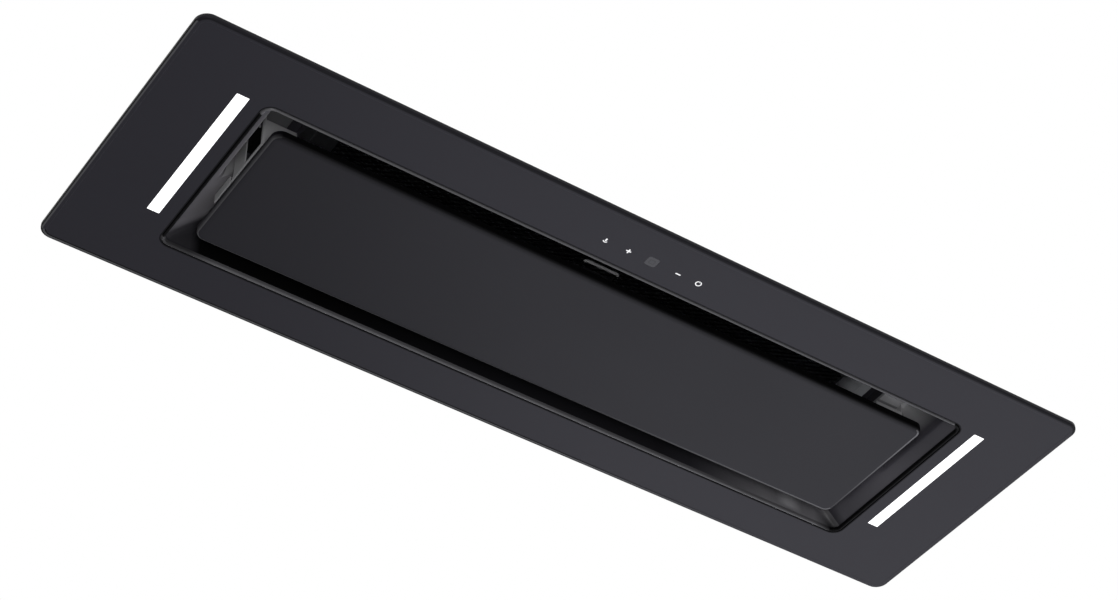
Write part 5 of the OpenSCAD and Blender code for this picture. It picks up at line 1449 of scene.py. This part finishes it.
clip_bands, clip_screws = lead_clips()
PIECES = (
    ("tray", recess_tray(), "recess_tray"),
    ("panel_shell", suction_panel(), "suction_panel"),
    ("catch_bracket_left_sheet", mirrored(catch_bracket()), "catch_bracket_left"),
    ("catch_bracket_right_sheet", catch_bracket(), "catch_bracket_right"),
    ("face_shell", face_shell(), "face_plate"),
    ("light_diffuser_left_bar", mirrored(diffuser()), "light_diffuser_left"),
    ("light_diffuser_right_bar", diffuser(), "light_diffuser_right"),
    ("touch_marks", touch_symbols(), "touch_symbols"),
    ("display_pane", display(), "display_window"),
    ("panel_back_sheet", panel_backing(), "panel_backing"),
    ("hinge_arm_sheets", hinge_arms(), "hinge_arms"),
    ("hinge_ears", hinge_brackets(), "hinge_brackets"),
    ("hinge_pin_rods", hinge_pins(), "hinge_pins"),
    ("hinge_screw_heads", hinge_screws(), "hinge_screws"),
    ("strike_pads", strike_plates(), "strike_plates"),
    ("magnet_cases", magnet_cases(), "catch_magnets"),
    ("magnet_poles", magnet_poles(), "catch_magnets", "bright_steel"),
    ("filter_rail_bead", filter_bead(), "filter_frame", "aluminium"),
    ("filter_strands", filter_mesh(), "filter_mesh"),
    ("handle_wire", handle_wire(), "handle_bail"),
    ("handle_base", handle_base(), "handle_plate"),
    ("latch_tongue", filter_latch(), "filter_latch"),
    ("tray_screw_heads", tray_screws(), "tray_screws"),
    ("low_body_shell", low_body(), "low_body"),
    ("plenum_shell", plenum_housing(), "plenum_housing"),
    ("blower_cover_shell", blower_cover(), "blower_cover"),
    ("collar_duct", discharge_collar(), "discharge_collar"),
    ("damper_flap_sheet", damper_flap(), "damper_flap"),
    ("damper_rod_bar", damper_rod(), "damper_rod"),
    ("body_screw_heads", body_screws(), "body_screws"),
    ("control_box_shell", control_box(), "control_box"),
    ("control_lid_shell", control_lid(), "control_lid"),
    ("control_lid_screws", lid_screws(), "control_lid", "bright_steel"),
    ("gland_body", mains_gland(), "mains_gland"),
    ("light_driver_case", light_driver(), "light_driver"),
    ("driver_lead_jacket", driver_lead(), "driver_lead"),
    ("lead_clip_bands", clip_bands, "lead_clips"),
    ("lead_clip_screws", clip_screws, "lead_clips", "bright_steel"),
    ("impeller_left_wheel", mirrored(impeller()), "impeller_left"),
    ("impeller_right_wheel", impeller(), "impeller_right"),
)
for row in PIECES:
    piece(*row)


# Studio

FLOOR_Z = -4.5
FLOOR_HALF = 60.0


def make_world():
    """White where the camera, gloss or glass looks, and a plain grey light elsewhere."""
    world = bpy.data.worlds.new("studio")
    bpy.context.scene.world = world
    world.use_nodes = True
    tree = world.node_tree
    tree.nodes.clear()
    path = tree.nodes.new("ShaderNodeLightPath")
    seen = Value(tree, path.outputs["Is Camera Ray"])
    for kind in ("Is Glossy Ray", "Is Transmission Ray"):
        seen = seen.high(Value(tree, path.outputs[kind]))
    background = tree.nodes.new("ShaderNodeBackground")
    background.inputs["Color"].default_value = (1.0, 1.0, 1.0, 1.0)
    connect(tree, background.inputs["Strength"], seen * 0.62 + 0.38)
    out = tree.nodes.new("ShaderNodeOutputWorld")
    tree.links.new(background.outputs[0], out.inputs["Surface"])


def make_floor():
    """Plain pale floor, white where the camera looks at it."""
    f = Finish("floor")
    seen = f.add("ShaderNodeLightPath", out="Is Camera Ray")
    matt = f.add("ShaderNodeBsdfDiffuse", None, {"Color": (0.82, 0.82, 0.82)})
    f.layered(seen * 0.7 + 0.1, matt, f.add("ShaderNodeEmission"))
    corners = [(-1, -1), (1, -1), (1, 1), (-1, 1)]
    mesh = bpy.data.meshes.new("floor")
    mesh.from_pydata([(x * FLOOR_HALF, y * FLOOR_HALF, FLOOR_Z) for x, y in corners], [], [(0, 1, 2, 3)])
    mesh.materials.append(f.material)
    floor = bpy.data.objects.new("floor", mesh)
    bpy.context.scene.collection.objects.link(floor)


def soft_lamp(name, at, aim, size, power, tint=(1.0, 1.0, 1.0)):
    """Square area lamp at a place, aimed at another."""
    data = bpy.data.lights.new(name, "AREA")
    data.shape, data.size, data.energy = "SQUARE", size, power
    data.color = tint
    lamp = bpy.data.objects.new(name, data)
    lamp.location = at
    lamp.rotation_mode = "QUATERNION"
    lamp.rotation_quaternion = (Vector(aim) - Vector(at)).to_track_quat("-Z", "Y")
    lamp.visible_camera = False
    bpy.context.scene.collection.objects.link(lamp)


make_world()
make_floor()
soft_lamp("lamp_right", (1.3, 0.9, -1.5), (0.1, 0.0, 0.0), 1.8, 12.7, (0.90, 0.90, 1.0))
soft_lamp("lamp_front", (-0.9, -1.5, -1.35), (0.0, 0.0, 0.0), 0.8, 14.0)
soft_lamp("lamp_above", (-0.5, 1.2, 2.2), (0.0, 0.0, 0.1), 2.0, 14.0)
